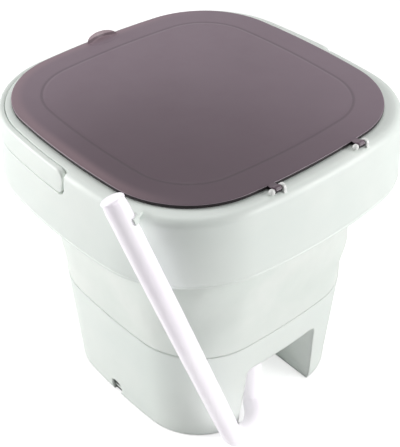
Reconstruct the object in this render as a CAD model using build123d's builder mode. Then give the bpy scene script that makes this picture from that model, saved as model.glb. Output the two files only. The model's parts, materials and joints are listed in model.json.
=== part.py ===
from build123d import *
from math import atan2, cos, degrees, radians, sin, sqrt, tan
import os

os.makedirs("parts", exist_ok=True)

# Foldable washing machine in millimetres. The floor is z = 0 and the tub's axis is x = y = 0.
# The control panel and the lid's finger tab face -Y, the lid hinges and the drain arch +Y.

# Outlines seen from above: four slightly bowed sides joined by large round corners
side_bow = 600.0
running_gap = 0.3

# Base housing
seam_height = 118.0
seam_gap = 0.6
foot_lift = 1.5
base_half = 114.0
base_corner = 66.0
base_taper = 4.1
base_wall = 2.6
ledge_width = 3.6
ledge_thickness = 3.0
ledge_top = 112.5

# Drain arch in the back of the base, with the pocket behind it
arch_height = 81.0
arch_half_top = 46.0
arch_half_bottom = 51.0
arch_corner = 7.0
pocket_depth = 54.0
pocket_wall = 2.5

# Cable notch in the right foot of the base and the power inlet behind it
notch_y = -4.5
notch_half = 8.0
notch_height = 17.0
inlet_size = 11.0
inlet_length = 12.0
inlet_bore = 3.2
inlet_bore_depth = 9.0
inlet_pin = 1.0
inlet_setback = 3.0

# Bottom cover, its screws and the rubber feet
cover_bottom = 4.0
cover_thickness = 2.5
cover_gap = 0.4
boss_reach = 122.0
boss_radius = 5.5
boss_height = 30.0
screw_radius = 1.5
screw_head_radius = 3.2
screw_head_height = 2.0
screw_length = 14.0
foot_radius = 8.0
foot_reach = 98.0
vent_length = 34.0
vent_width = 3.0
vent_count = 7
vent_pitch = 7.0

# Tub floor
floor_height = 90.0
floor_thickness = 3.0
tub_wall = 2.5
tub_half_floor = 108.0
tub_taper = 10.0
tub_corner = 62.0
floor_bevel = 5.0
hub_radius = 15.5
hub_bottom = 63.0

# Drive: shaft, bearings, seal, pulsator
shaft_radius = 4.0
shaft_bottom = 46.0
bearing_outer = 11.0
bearing_height = 7.0
bearing_gap = 0.02
seal_height = 6.0
pulsator_radius = 74.0
pulsator_plate = 3.0
pulsator_lift = 2.0
pulsator_dome = 20.0
vane_count = 4
vane_height = 17.0
vane_width = 9.0
cap_radius = 11.0
cap_height = 4.0

# Belt drive and motor
belt_level = 50.0
pulley_height = 10.0
big_groove = 33.0
small_groove = 11.0
groove_depth = 3.0
flange_thickness = 1.5
belt_thickness = 2.5
motor_angle = 225.0
motor_distance = 56.0
motor_radius = 26.0
motor_height = 33.0
motor_shaft_radius = 2.5
bracket_thickness = 2.5
post_radius = 4.0

# Front control panel and its buttons
panel_half = 48.0
panel_bottom = 56.0
panel_top = 86.0
panel_skin = 2.0
panel_backing = 2.0
panel_edge = 5.0
panel_fit = 0.3
button_radius = 7.0
button_spacing = 28.0
button_count = 3
button_travel = 1.2
button_stand = 1.6
button_flange = 1.5
switch_height = 1.5
board_thickness = 1.6
board_setback = 11.0
board_post_radius = 2.0
board_post_x = 38.0
board_margin = 3.5

# Upper frame: outer skirt, flat rim and the upper tub wall
frame_bottom = 240.0
rim_height = 310.6
frame_half_x = 164.0
frame_half_y = 160.0
frame_centre = -5.0
frame_corner = 93.0
frame_taper = 3.3
skirt_wall = 3.0
rim_thickness = 3.0
shoulder_round = 8.0
thick_band_bottom = 282.0
thick_band = 15.0
throat_half = 128.0
throat_taper = 4.0
tub_skin = 2.5
ledge_ring = 6.0
rib_thickness = 2.5

# Bellows between the base and the upper frame, with its two clamp rings
bellows_wall = 2.5
bellows_half_low = 121.4
bellows_corner_low = 74.0
sleeve_overlap = 1.0
bellows_flange = 2.6
ring_height = 2.6
ring_width = 6.0
collar_height = 7.0
collar_width = 2.4

# Carry handle: a bail that lies round the front of the rim
handle_thickness = 5.5
handle_half_x = 164.6
handle_front = 174.0
handle_corner = 97.0
handle_bottom = 287.0
handle_top = 310.0
handle_pivot_y = -2.0
handle_end = 10.0
handle_end_round = 8.0
handle_gap = 1.0
recess_reach = 12.5
pivot_radius = 4.0
pivot_fit = 0.08
pivot_length = 6.0

# Lid and its hinges
lid_gap = 0.4
lid_thickness = 3.6
lid_half = 150.0
lid_centre = -10.0
lid_corner = 86.0
lid_edge_bevel = 1.0
panel_inset = 28.0
panel_rise = 0.8
seal_depth = 5.0
seal_width = 2.0
seal_clearance = 1.2
tab_x = -8.0
tab_half = 13.0
tab_reach = 5.0
tab_thickness = 2.6
hinge_spacing = 100.0
hinge_offset = -2.0
hinge_y = 146.0
hinge_height = 313.2
knuckle_radius = 3.4
knuckle_half = 3.5
ear_radius = 3.9
ear_thickness = 3.2
hinge_side_gap = 0.4
pin_radius = 1.5
pin_fit = 0.08
pin_head_radius = 2.8

# Drain hose, its outlet and its clip
hose_radius = 10.0
hose_bore = 7.5
spigot_radius = 7.3
spigot_bore = 5.5
spigot_bottom = 62.0
outlet_x = 15.0
outlet_y = 92.0
outlet_flange = 12.0
outlet_gap = 1.0
grille_radius = 11.0
grille_shift = -4.5
grille_slots = 5
hose_top_end = 79.0
clamp_width = 7.0
clamp_thickness = 1.6
plug_length = 5.0
plug_gap = 0.2
clip_height = 9.0
clip_wall = 2.4
clip_level = 315.0
clip_gap = 0.3
clip_arm_length = 31.0
clip_arm_width = 12.0
clip_arm_thickness = 3.4

# Heights and half widths worked out from the values above
housing_top = seam_height - seam_gap
lid_bottom = rim_height + lid_gap
lid_top = lid_bottom + lid_thickness
cover_top = cover_bottom + cover_thickness
flange_top = ledge_top + 2.5
tub_half_top = tub_half_floor + (flange_top - floor_height) * tan(radians(tub_taper))
bellows_top = frame_bottom + 1.0
sleeve_half_top = throat_half + tub_skin + sleeve_overlap
sleeve_corner_top = bellows_corner_low + sleeve_half_top - bellows_half_low
throat_corner = sleeve_corner_top - tub_skin - sleeve_overlap
sleeve_taper = degrees(atan2(sleeve_half_top - bellows_half_low, bellows_top - seam_height))
mouth_half = throat_half + (rim_height - frame_bottom) * tan(radians(throat_taper))
mouth_corner = throat_corner + mouth_half - throat_half
pocket_back = base_half - pocket_depth
handle_level = (handle_bottom + handle_top) / 2
handle_half_height = (handle_top - handle_bottom) / 2
motor_x = motor_distance * cos(radians(motor_angle))
motor_y = motor_distance * sin(radians(motor_angle))
bracket_bottom = belt_level - 2.5 - bracket_thickness
hinge_places = [hinge_offset - hinge_spacing / 2, hinge_offset + hinge_spacing / 2]
tub_bottom = floor_height - floor_thickness
panel_middle = (panel_bottom + panel_top) / 2
panel_face = -(base_half + panel_middle * tan(radians(base_taper)))
board_face = panel_face + board_setback
board_bottom = panel_bottom - board_margin
board_top = tub_bottom - 1.0
board_posts = [
    (x, z)
    for x in (-board_post_x, board_post_x)
    for z in (panel_bottom + panel_edge / 2, panel_top - panel_edge / 2)
]


def base_growth(height):
    return height * tan(radians(base_taper))


def frame_growth(height):
    return (rim_height - height) * tan(radians(frame_taper))


def side_meeting(half_x, half_y):
    # Where two bowed sides meet, each an arc about a centre side_bow beyond the middle
    radius_x = side_bow + half_x
    radius_y = side_bow + half_y
    spread = side_bow * sqrt(2)
    along = (radius_x**2 - radius_y**2 + spread**2) / (2 * spread)
    out = sqrt(radius_x**2 - along**2)
    return (out + along) / sqrt(2) - side_bow, (out - along) / sqrt(2)


def bowed_square(half_x, half_y, corner, centre_y=0.0):
    # Four bowed sides that meet in rounded corners. The arcs of all sizes share their centres,
    # so a larger outline is an even offset of a smaller one.
    end_x, end_y = side_meeting(half_x, half_y)
    with BuildSketch(mode=Mode.PRIVATE) as outline:
        with BuildLine():
            ThreePointArc((end_x, -end_y), (half_x, 0), (end_x, end_y))
            ThreePointArc((end_x, end_y), (0, half_y), (-end_x, end_y))
            ThreePointArc((-end_x, end_y), (-half_x, 0), (-end_x, -end_y))
            ThreePointArc((-end_x, -end_y), (0, -half_y), (end_x, -end_y))
        make_face()
        fillet(outline.vertices(), corner)
    return outline.sketch.moved(Location((0, centre_y, 0)))


def cone_wedge(centre, inner, start_radius, end_radius, start, end, height, amount):
    # A wedge of a cone about an upright axis, from one angle to another
    turn = radians(start)
    side = Plane(
        origin=(centre[0], centre[1], height),
        x_dir=(cos(turn), sin(turn), 0),
        z_dir=(sin(turn), -cos(turn), 0),
    )
    with BuildPart(mode=Mode.PRIVATE) as wedge:
        with BuildSketch(side):
            with BuildLine():
                Polyline((inner, 0), (start_radius, 0), (end_radius, amount), (inner, amount), close=True)
            make_face()
        revolve(axis=Axis((centre[0], centre[1], 0), (0, 0, 1)), revolution_arc=end - start)
    return wedge.part


def leaning_block(outline, height, amount, lean):
    # A bowed square whose walls lean outwards by lean degrees, away from the plane of its
    # outline: a middle prism, a cone wedge for each side and one for each corner
    half_x, half_y, corner, centre_y = outline
    growth = abs(amount) * tan(radians(lean))
    middle_x, middle_y = side_meeting(half_x - corner, half_y - corner)
    half_turn_x = degrees(atan2(middle_y, middle_x + side_bow))
    half_turn_y = degrees(atan2(middle_x, middle_y + side_bow))
    with BuildPart(mode=Mode.PRIVATE) as body:
        with BuildSketch(Plane.XY.offset(height)):
            Rectangle(2 * middle_x, 2 * middle_y)
        extrude(amount=amount)
        for turn, half_turn, half, middle in (
            (0, half_turn_x, half_x, middle_x),
            (90, half_turn_y, half_y, middle_y),
            (180, half_turn_x, half_x, middle_x),
            (270, half_turn_y, half_y, middle_y),
        ):
            centre = (-side_bow * cos(radians(turn)), -side_bow * sin(radians(turn)))
            reach = side_bow + half
            wedge = (side_bow + middle / 2, reach, reach + growth, turn - half_turn, turn + half_turn)
            add(cone_wedge(centre, *wedge, height, amount))
        for sign_x, sign_y, start, end in (
            (1, 1, half_turn_x, 90 - half_turn_y),
            (-1, 1, 90 + half_turn_y, 180 - half_turn_x),
            (-1, -1, 180 + half_turn_x, 270 - half_turn_y),
            (1, -1, 270 + half_turn_y, 360 - half_turn_x),
        ):
            centre = (sign_x * middle_x, sign_y * middle_y)
            add(cone_wedge(centre, 0, corner, corner + growth, start, end, height, amount))
    return body.part.moved(Location((0, centre_y, 0)))


def base_block(low, high, inset=0.0):
    grow = base_growth(low) - inset
    outline = (base_half + grow, base_half + grow, base_corner + grow, 0.0)
    return leaning_block(outline, low, high - low, base_taper)


def frame_block(low, high, inset=0.0):
    grow = frame_growth(high) - inset
    outline = (frame_half_x + grow, frame_half_y + grow, frame_corner + grow, frame_centre)
    return leaning_block(outline, high, low - high, frame_taper)


def passage_section(height, outset=0.0):
    grow = (height - frame_bottom) * tan(radians(throat_taper)) + outset
    return throat_half + grow, throat_half + grow, throat_corner + grow, 0.0


def tub_passage(low, high, outset=0.0):
    return leaning_block(passage_section(low, outset), low, high - low, throat_taper)


def tub_section(half, inset=0.0):
    return half - inset, half - inset, tub_corner + half - tub_half_floor - inset, 0.0


def sleeve_section(half, corner, inset=0.0):
    return half - inset, half - inset, corner - inset, 0.0


def finish(builder, label):
    builder.part.label = label
    export_step(builder.part, f"parts/{label}.step")


def box_between(low, high):
    # A box given by two opposite corners, made apart from any part in progress
    size = [b - a for a, b in zip(low, high)]
    middle = [(a + b) / 2 for a, b in zip(low, high)]
    return Pos(*middle) * Box(*size, mode=Mode.PRIVATE)


# Base housing: one moulding with the drain arch, its pocket, the cable notch and the panel window
with BuildPart() as housing_pocket:
    with BuildSketch(Plane.XZ.offset(-pocket_back + pocket_wall)):
        with BuildLine():
            Polyline(
                (-arch_half_bottom - pocket_wall, foot_lift),
                (arch_half_bottom + pocket_wall, foot_lift),
                (arch_half_top + pocket_wall, arch_height + pocket_wall),
                (-arch_half_top - pocket_wall, arch_height + pocket_wall),
                close=True,
            )
        make_face()
    extrude(amount=-base_half)

with BuildPart() as arch_space:
    with BuildSketch(Plane.XZ.offset(-pocket_back)) as arch_profile:
        with BuildLine():
            Polyline(
                (-arch_half_bottom, 0),
                (arch_half_bottom, 0),
                (arch_half_top, arch_height),
                (-arch_half_top, arch_height),
                close=True,
            )
        make_face()
        fillet(arch_profile.vertices().group_by(Axis.Z)[-1], arch_corner)
    extrude(amount=-base_half)

with BuildPart() as panel_pad:
    add(base_block(panel_bottom - panel_edge, panel_top, base_wall - 0.5))
    add(base_block(panel_bottom - panel_edge, panel_top, base_wall + panel_backing), mode=Mode.SUBTRACT)
    pad_limits = box_between(
        (-panel_half - panel_edge, -base_half * 2, 0), (panel_half + panel_edge, 0, seam_height)
    )
    add(pad_limits, mode=Mode.INTERSECT)

with BuildPart() as housing_hollow:
    add(base_block(foot_lift, ledge_top - ledge_thickness, base_wall))
    add(housing_pocket.part, mode=Mode.SUBTRACT)
    add(panel_pad.part, mode=Mode.SUBTRACT)

with BuildPart() as panel_recess:
    add(base_block(panel_bottom, panel_top))
    add(base_block(panel_bottom, panel_top, panel_skin + 0.1), mode=Mode.SUBTRACT)
    front_panel = box_between(
        (-panel_half, -base_half * 2, panel_bottom), (panel_half, 0, panel_top)
    )
    add(front_panel, mode=Mode.INTERSECT)

boss_places = [(boss_reach * x / sqrt(2), boss_reach * y / sqrt(2)) for x in (-1, 1) for y in (-1, 1)]

with BuildPart() as base_housing:
    add(base_block(foot_lift, housing_top))
    add(housing_hollow.part, mode=Mode.SUBTRACT)
    add(base_block(ledge_top - ledge_thickness, ledge_top, base_wall + ledge_width), mode=Mode.SUBTRACT)
    add(base_block(ledge_top, housing_top, base_wall), mode=Mode.SUBTRACT)
    add(arch_space.part, mode=Mode.SUBTRACT)
    # Screw bosses in the corners, each on a web to the corner wall
    with BuildSketch(Plane.XY.offset(cover_top)):
        with Locations(*boss_places):
            Circle(boss_radius)
        for place in boss_places:
            turn = degrees(atan2(place[1], place[0]))
            with Locations(Location((place[0] * 1.03, place[1] * 1.03), turn)):
                Rectangle(boss_radius * 4, 2.5, align=(Align.MIN, Align.CENTER))
    extrude(amount=boss_height)
    add(base_block(foot_lift, housing_top), mode=Mode.INTERSECT)
    with Locations(*[(x, y, cover_top) for x, y in boss_places]):
        Cylinder(
            screw_radius, screw_length, align=(Align.CENTER, Align.CENTER, Align.MIN), mode=Mode.SUBTRACT
        )
    # Cable notch with a round top
    with BuildSketch(Plane.YZ.offset(base_half - 12)) as notch_profile:
        with Locations((notch_y, 0)):
            Rectangle(2 * notch_half, notch_height, align=(Align.CENTER, Align.MIN))
        fillet(notch_profile.vertices().group_by(Axis.Z)[-1], notch_half - 0.5)
    extrude(amount=30, mode=Mode.SUBTRACT)
    # Recess and window for the control panel
    add(panel_recess.part, mode=Mode.SUBTRACT)
    window = box_between(
        (-panel_half + panel_edge, -base_half * 2, panel_bottom + panel_edge),
        (panel_half - panel_edge, -base_half + 20, panel_top - panel_edge),
    )
    add(window, mode=Mode.SUBTRACT)
    # Posts that carry the control board
    for post_x, post_z in board_posts:
        wall_face = base_half + base_growth(post_z) - post_x**2 / (2 * (side_bow + base_half))
        post_root = wall_face - panel_skin - panel_backing / 2
        with BuildSketch(Plane.XZ.offset(post_root)):
            with Locations((post_x, post_z)):
                Circle(board_post_radius)
        extrude(amount=-(post_root + board_face))
    # The drain outlet passes through the roof of the pocket
    with Locations((outlet_x, outlet_y, arch_height)):
        Cylinder(outlet_flange + outlet_gap, 20, mode=Mode.SUBTRACT)
finish(base_housing, "base_housing")

# Bottom cover with vent slots, cut out round the drain pocket
with BuildPart() as cover_cutout:
    with BuildSketch(Plane.XZ.offset(-pocket_back + pocket_wall + cover_gap)):
        Rectangle(
            2 * (arch_half_bottom + pocket_wall + cover_gap), 4 * cover_top, align=(Align.CENTER, Align.CENTER)
        )
    extrude(amount=-base_half)

with BuildPart() as bottom_cover:
    add(base_block(cover_bottom, cover_top, base_wall + cover_gap))
    add(cover_cutout.part, mode=Mode.SUBTRACT)
    with BuildSketch(Plane.XY.offset(cover_bottom)):
        with Locations((0, -20)):
            with GridLocations(0, vent_pitch, 1, vent_count):
                SlotOverall(vent_length, vent_width)
    extrude(amount=cover_thickness, mode=Mode.SUBTRACT)
    with Locations(*[(x, y, cover_top) for x, y in boss_places]):
        Hole(screw_radius + 0.2)
    with BuildSketch(Plane.XY.offset(cover_top)):
        # Cradle that holds the power inlet
        with Locations((base_half - base_wall - inlet_setback - inlet_length / 2, notch_y)):
            Rectangle(inlet_length, inlet_size + 4)
            Rectangle(inlet_length, inlet_size + 2 * running_gap, mode=Mode.SUBTRACT)
    extrude(amount=inlet_size * 0.7)
finish(bottom_cover, "bottom_cover")

with BuildPart() as cover_screws:
    with Locations(*[(x, y, cover_bottom - screw_head_height) for x, y in boss_places]):
        Cylinder(screw_head_radius, screw_head_height, align=(Align.CENTER, Align.CENTER, Align.MIN))
    with Locations(*[(x, y, cover_bottom) for x, y in boss_places]):
        Cylinder(
            screw_radius - 0.05,
            screw_length - 1 + cover_thickness,
            align=(Align.CENTER, Align.CENTER, Align.MIN),
        )
finish(cover_screws, "cover_screws")

# Four rubber feet under the corners of the bottom cover
foot_places = {
    "foot_front_right": (1, -1),
    "foot_front_left": (-1, -1),
    "foot_back_right": (1, 1),
    "foot_back_left": (-1, 1),
}
for foot_name, (side_x, side_y) in foot_places.items():
    with BuildPart() as foot:
        with Locations((side_x * foot_reach / sqrt(2), side_y * foot_reach / sqrt(2), 0)):
            Cylinder(foot_radius, cover_bottom, align=(Align.CENTER, Align.CENTER, Align.MIN))
        chamfer(foot.edges().filter_by(GeomType.CIRCLE).group_by(Axis.Z)[0], 1.0)
    finish(foot, foot_name)

# Power inlet: a square socket with a round opening and a centre pin, facing the notch
inlet_face = base_half - base_wall - inlet_setback
with BuildPart() as power_inlet:
    with Locations((inlet_face, notch_y, cover_top + inlet_size / 2)):
        Box(inlet_length, inlet_size, inlet_size, align=(Align.MAX, Align.CENTER, Align.CENTER))
    with BuildSketch(Plane.YZ.offset(inlet_face)):
        with Locations((notch_y, cover_top + inlet_size / 2)):
            Circle(inlet_bore)
            Circle(inlet_pin, mode=Mode.SUBTRACT)
    extrude(amount=-inlet_bore_depth, mode=Mode.SUBTRACT)
finish(power_inlet, "power_inlet")

# Tub floor: a shallow basin with the bearing hub and the motor posts moulded below it
flange_half = base_half + base_growth(ledge_top) - base_wall - running_gap
flange_corner = base_corner + base_growth(ledge_top) - base_wall - running_gap


post_places = [
    (motor_x + (motor_radius + 6) * cos(radians(a)), motor_y + (motor_radius + 6) * sin(radians(a)))
    for a in (motor_angle - 100, motor_angle, motor_angle + 100)
]

with BuildPart() as tub_inside:
    add(leaning_block(tub_section(tub_half_floor), floor_height, flange_top - floor_height, tub_taper))
    chamfer(tub_inside.faces().sort_by(Axis.Z)[0].edges(), floor_bevel)

with BuildPart() as tub_floor:
    wall_outline = tub_section(tub_half_floor, -tub_wall)
    add(leaning_block(wall_outline, tub_bottom, flange_top - tub_bottom, tub_taper))
    chamfer(tub_floor.faces().sort_by(Axis.Z)[0].edges(), floor_bevel)
    with BuildSketch(Plane.XY.offset(ledge_top + 0.1)):
        add(bowed_square(flange_half, flange_half, flange_corner))
    extrude(amount=flange_top - ledge_top - 0.1)
    add(tub_inside.part, mode=Mode.SUBTRACT)
    with BuildSketch(Plane.XY.offset(hub_bottom)):
        Circle(hub_radius)
    extrude(amount=tub_bottom - hub_bottom + 0.5)
    with BuildSketch(Plane.XY.offset(bracket_bottom + bracket_thickness)):
        with Locations(*post_places):
            Circle(post_radius)
    extrude(amount=tub_bottom - bracket_bottom - bracket_thickness + 0.5)
    # Seats for the seal and the two bearings, with the shaft hole between them
    with BuildSketch(Plane.XY.offset(hub_bottom)):
        Circle(shaft_radius + 1.5)
    extrude(amount=floor_height - hub_bottom, mode=Mode.SUBTRACT)
    with BuildSketch(Plane.XY.offset(hub_bottom)):
        Circle(bearing_outer + bearing_gap)
    extrude(amount=bearing_height, mode=Mode.SUBTRACT)
    with BuildSketch(Plane.XY.offset(floor_height - seal_height - bearing_height)):
        Circle(bearing_outer + bearing_gap)
    extrude(amount=seal_height + bearing_height, mode=Mode.SUBTRACT)
    # Drain hole
    with Locations((outlet_x, outlet_y, floor_height)):
        Cylinder(spigot_bore, 30, mode=Mode.SUBTRACT)
finish(tub_floor, "tub_floor")

# Bearings as plain rings and the lip seal above them
bearing_levels = {
    "lower_bearing": hub_bottom,
    "upper_bearing": floor_height - seal_height - bearing_height,
}
for bearing_name, level in bearing_levels.items():
    with BuildPart() as bearing:
        with BuildSketch(Plane.XY.offset(level)):
            Circle(bearing_outer)
            Circle(shaft_radius + bearing_gap, mode=Mode.SUBTRACT)
        extrude(amount=bearing_height)
        chamfer(bearing.edges().filter_by(GeomType.CIRCLE), 0.4)
    finish(bearing, bearing_name)

with BuildPart() as shaft_seal:
    with BuildSketch(Plane.XY.offset(floor_height - seal_height)):
        Circle(bearing_outer)
        Circle(shaft_radius + 0.05, mode=Mode.SUBTRACT)
    extrude(amount=seal_height)
finish(shaft_seal, "shaft_seal")

# Drive shaft with a flat for the pulsator and a retaining shoulder for the pulley
pulsator_bottom = floor_height + pulsator_lift
hub_top = pulsator_bottom + pulsator_dome
with BuildPart() as drive_shaft:
    with BuildSketch(Plane.XY.offset(shaft_bottom)):
        Circle(shaft_radius)
    extrude(amount=hub_top - cap_height - shaft_bottom)
    chamfer(drive_shaft.edges().filter_by(GeomType.CIRCLE), 0.5)
finish(drive_shaft, "drive_shaft")

# Pulsator: a domed wash plate with curved vanes
with BuildPart() as pulsator:
    with BuildSketch(Plane.XZ):
        with BuildLine():
            Polyline(
                (0, pulsator_bottom),
                (pulsator_radius, pulsator_bottom),
                (pulsator_radius, pulsator_bottom + pulsator_plate),
                (pulsator_radius * 0.6, pulsator_bottom + pulsator_plate + 2),
                (pulsator_radius * 0.35, pulsator_bottom + pulsator_dome * 0.55),
                (cap_radius + 2, hub_top),
                (0, hub_top),
                close=True,
            )
        make_face()
    revolve(axis=Axis.Z)
    with BuildSketch(Plane.XY.offset(pulsator_bottom + 1)) as vane_outline:
        with PolarLocations(0, vane_count):
            with BuildLine():
                vane_path = ThreePointArc(
                    (pulsator_radius * 0.16, 0),
                    (pulsator_radius * 0.55, pulsator_radius * 0.14),
                    (pulsator_radius * 0.9, 0),
                )
                offset(vane_path, vane_width / 2)
            make_face()
    extrude(amount=vane_height, taper=8)
    # Bore for the shaft and the pocket of the cap
    with BuildSketch(Plane.XY.offset(pulsator_bottom)):
        Circle(shaft_radius)
    extrude(amount=pulsator_dome, mode=Mode.SUBTRACT)
    with BuildSketch(Plane.XY.offset(hub_top - cap_height)):
        Circle(cap_radius)
    extrude(amount=cap_height * 3, mode=Mode.SUBTRACT)
finish(pulsator, "pulsator")

with BuildPart() as pulsator_cap:
    with BuildSketch(Plane.XY.offset(hub_top - cap_height)):
        Circle(cap_radius)
    extrude(amount=cap_height)
    chamfer(pulsator_cap.edges().filter_by(GeomType.CIRCLE).group_by(Axis.Z)[-1], 1.5)
finish(pulsator_cap, "pulsator_cap")


def grooved_pulley(groove, bore):
    # Half section of a flanged pulley, revolved about its own axis
    with BuildPart(mode=Mode.PRIVATE) as body:
        with BuildSketch(Plane.XZ):
            with BuildLine():
                Polyline(
                    (bore, 0),
                    (groove + groove_depth, 0),
                    (groove + groove_depth, flange_thickness),
                    (groove, flange_thickness),
                    (groove, pulley_height - flange_thickness),
                    (groove + groove_depth, pulley_height - flange_thickness),
                    (groove + groove_depth, pulley_height),
                    (bore, pulley_height),
                    close=True,
                )
            make_face()
        revolve(axis=Axis.Z)
    return body.part


with BuildPart() as drive_pulley:
    add(grooved_pulley(big_groove, shaft_radius).moved(Location((0, 0, belt_level))))
    with BuildSketch(Plane.XY.offset(belt_level)):
        with PolarLocations((big_groove + shaft_radius) / 2, 5):
            Circle(big_groove * 0.2)
    extrude(amount=pulley_height, mode=Mode.SUBTRACT)
finish(drive_pulley, "drive_pulley")

with BuildPart() as motor_pulley:
    add(grooved_pulley(small_groove, motor_shaft_radius).moved(Location((motor_x, motor_y, belt_level))))
finish(motor_pulley, "motor_pulley")

with BuildPart() as motor_shaft:
    with BuildSketch(Plane.XY.offset(bracket_bottom + 0.1)):
        with Locations((motor_x, motor_y)):
            Circle(motor_shaft_radius)
    extrude(amount=belt_level + pulley_height - bracket_bottom - 0.1)
finish(motor_shaft, "motor_shaft")


def belt_loop(outset):
    with BuildSketch(mode=Mode.PRIVATE) as loop:
        Circle(big_groove + outset)
        with Locations((motor_x, motor_y)):
            Circle(small_groove + outset)
        make_hull()
    return loop.sketch


with BuildPart() as drive_belt:
    with BuildSketch(Plane.XY.offset(belt_level + flange_thickness + running_gap)):
        add(belt_loop(running_gap + belt_thickness))
        add(belt_loop(running_gap), mode=Mode.SUBTRACT)
    extrude(amount=pulley_height - 2 * flange_thickness - 2 * running_gap)
finish(drive_belt, "drive_belt")

# Motor under its bracket, which hangs on the posts of the tub floor
with BuildPart() as motor:
    with BuildSketch(Plane.XY.offset(bracket_bottom - motor_height)):
        with Locations((motor_x, motor_y)):
            Circle(motor_radius)
    extrude(amount=motor_height)
    chamfer(motor.edges().filter_by(GeomType.CIRCLE).group_by(Axis.Z)[0], 3.0)
    with BuildSketch(Plane.XY.offset(bracket_bottom - motor_height)):
        with Locations((motor_x, motor_y)):
            Circle(motor_radius * 0.3)
    extrude(amount=-3)
finish(motor, "motor")

with BuildPart() as motor_bracket:
    with BuildSketch(Plane.XY.offset(bracket_bottom)):
        with Locations((motor_x, motor_y)):
            Circle(motor_radius)
        with Locations(*post_places):
            Circle(post_radius + 2)
        make_hull()
        with Locations((motor_x, motor_y)):
            Circle(motor_shaft_radius + 2, mode=Mode.SUBTRACT)
        with Locations(*post_places):
            Circle(screw_radius + 0.2, mode=Mode.SUBTRACT)
    extrude(amount=bracket_thickness)
finish(motor_bracket, "motor_bracket")

with BuildPart() as bracket_screws:
    with Locations(*[(x, y, bracket_bottom - screw_head_height) for x, y in post_places]):
        Cylinder(screw_head_radius, screw_head_height, align=(Align.CENTER, Align.CENTER, Align.MIN))
    with Locations(*[(x, y, bracket_bottom) for x, y in post_places]):
        Cylinder(screw_radius, bracket_thickness, align=(Align.CENTER, Align.CENTER, Align.MIN))
finish(bracket_screws, "bracket_screws")

# Control panel: a skin of the housing's own shape, with three round openings
button_places = [(i - (button_count - 1) / 2) * button_spacing for i in range(button_count)]

with BuildPart() as panel_cover:
    add(base_block(panel_bottom, panel_top))
    add(base_block(panel_bottom, panel_top, panel_skin), mode=Mode.SUBTRACT)
    skin_limits = box_between(
        (-panel_half + panel_fit, -base_half * 2, panel_bottom + panel_fit),
        (panel_half - panel_fit, 0, panel_top - panel_fit),
    )
    add(skin_limits, mode=Mode.INTERSECT)
    with BuildSketch(Plane.XZ.offset(-panel_face + 20)):
        with Locations(*[(x, panel_middle) for x in button_places]):
            Circle(button_radius + running_gap)
    extrude(amount=-40, mode=Mode.SUBTRACT)
finish(panel_cover, "panel_cover")

button_names = ["button_power", "button_mode", "button_start"]
button_face = panel_face - button_stand
for button_name, x in zip(button_names, button_places):
    # The flange rests just behind the skin, which leans and bows away from it
    low_edge = base_half + base_growth(panel_middle - button_radius - button_flange)
    bow = (abs(x) + button_radius + button_flange) ** 2 / (2 * (side_bow + base_half))
    flange_front = bow - low_edge + panel_skin + running_gap
    with BuildPart() as button:
        with BuildSketch(Plane.XZ.offset(-button_face)):
            with Locations((x, panel_middle)):
                Circle(button_radius)
        extrude(amount=-(flange_front - button_face))
        chamfer(button.edges().filter_by(GeomType.CIRCLE).group_by(Axis.Y)[0], 0.8)
        with BuildSketch(Plane.XZ.offset(-flange_front)):
            with Locations((x, panel_middle)):
                Circle(button_radius + button_flange)
        extrude(amount=-button_flange)
        with BuildSketch(Plane.XZ.offset(-flange_front)):
            with Locations((x, panel_middle)):
                Circle(2.0)
        extrude(amount=-(board_face - switch_height - button_travel - running_gap - flange_front))
    finish(button, button_name)

# Control board behind the panel, with one switch for each button
with BuildPart() as control_board:
    with BuildSketch(Plane.XZ.offset(-board_face)):
        with Locations((0, (board_bottom + board_top) / 2)):
            Rectangle(2 * (panel_half - panel_edge) - 2, board_top - board_bottom)
    extrude(amount=-board_thickness)
    with BuildSketch(Plane.XZ.offset(-board_face)):
        with Locations(*[(x, panel_middle) for x in button_places]):
            Rectangle(6, 6)
    extrude(amount=switch_height)
finish(control_board, "control_board")

# Drain: grille in the tub floor, spigot below it and a spring clamp round the hose
with BuildPart() as drain_grille:
    with BuildSketch(Plane.XY.offset(floor_height)):
        with Locations((outlet_x, outlet_y + grille_shift)):
            Circle(grille_radius)
    extrude(amount=1.6)
    with BuildSketch(Plane.XY.offset(floor_height)):
        with Locations((outlet_x, outlet_y + grille_shift)):
            with GridLocations(4, 0, grille_slots, 1):
                SlotOverall(grille_radius * 1.1, 2.0, rotation=90)
    extrude(amount=1.6, mode=Mode.SUBTRACT)
finish(drain_grille, "drain_grille")

with BuildPart() as drain_spigot:
    with BuildSketch(Plane.XY.offset(tub_bottom)):
        with Locations((outlet_x, outlet_y)):
            Circle(outlet_flange)
    extrude(amount=-2.5)
    with BuildSketch(Plane.XY.offset(tub_bottom)):
        with Locations((outlet_x, outlet_y)):
            Circle(spigot_radius)
    extrude(amount=spigot_bottom - tub_bottom)
    with BuildSketch(Plane.XY.offset(tub_bottom)):
        with Locations((outlet_x, outlet_y)):
            Circle(spigot_bore)
    extrude(amount=spigot_bottom - tub_bottom, mode=Mode.SUBTRACT)
finish(drain_spigot, "drain_spigot")

# Drain hose: down from the spigot, out under the arch and up past the corner of the rim
hose_points = [
    Vector(outlet_x, outlet_y, hose_top_end),
    Vector(outlet_x, outlet_y, 10.4),
    Vector(40.0, 128.5, 10.4),
    Vector(72.0, 130.2, 10.4),
    Vector(157.6, 139.5, 240.0),
    Vector(173.2, 93.0, 333.0),
]


def turn_between(before, point, after):
    return (point - before).get_angle(after - point)


hose_radii = []
for before, point, after in zip(hose_points, hose_points[1:], hose_points[2:]):
    run = min((point - before).length, (after - point).length)
    hose_radii.append(0.45 * run / tan(radians(turn_between(before, point, after) / 2)))
print("hose radii", [round(r, 1) for r in hose_radii])

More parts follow.
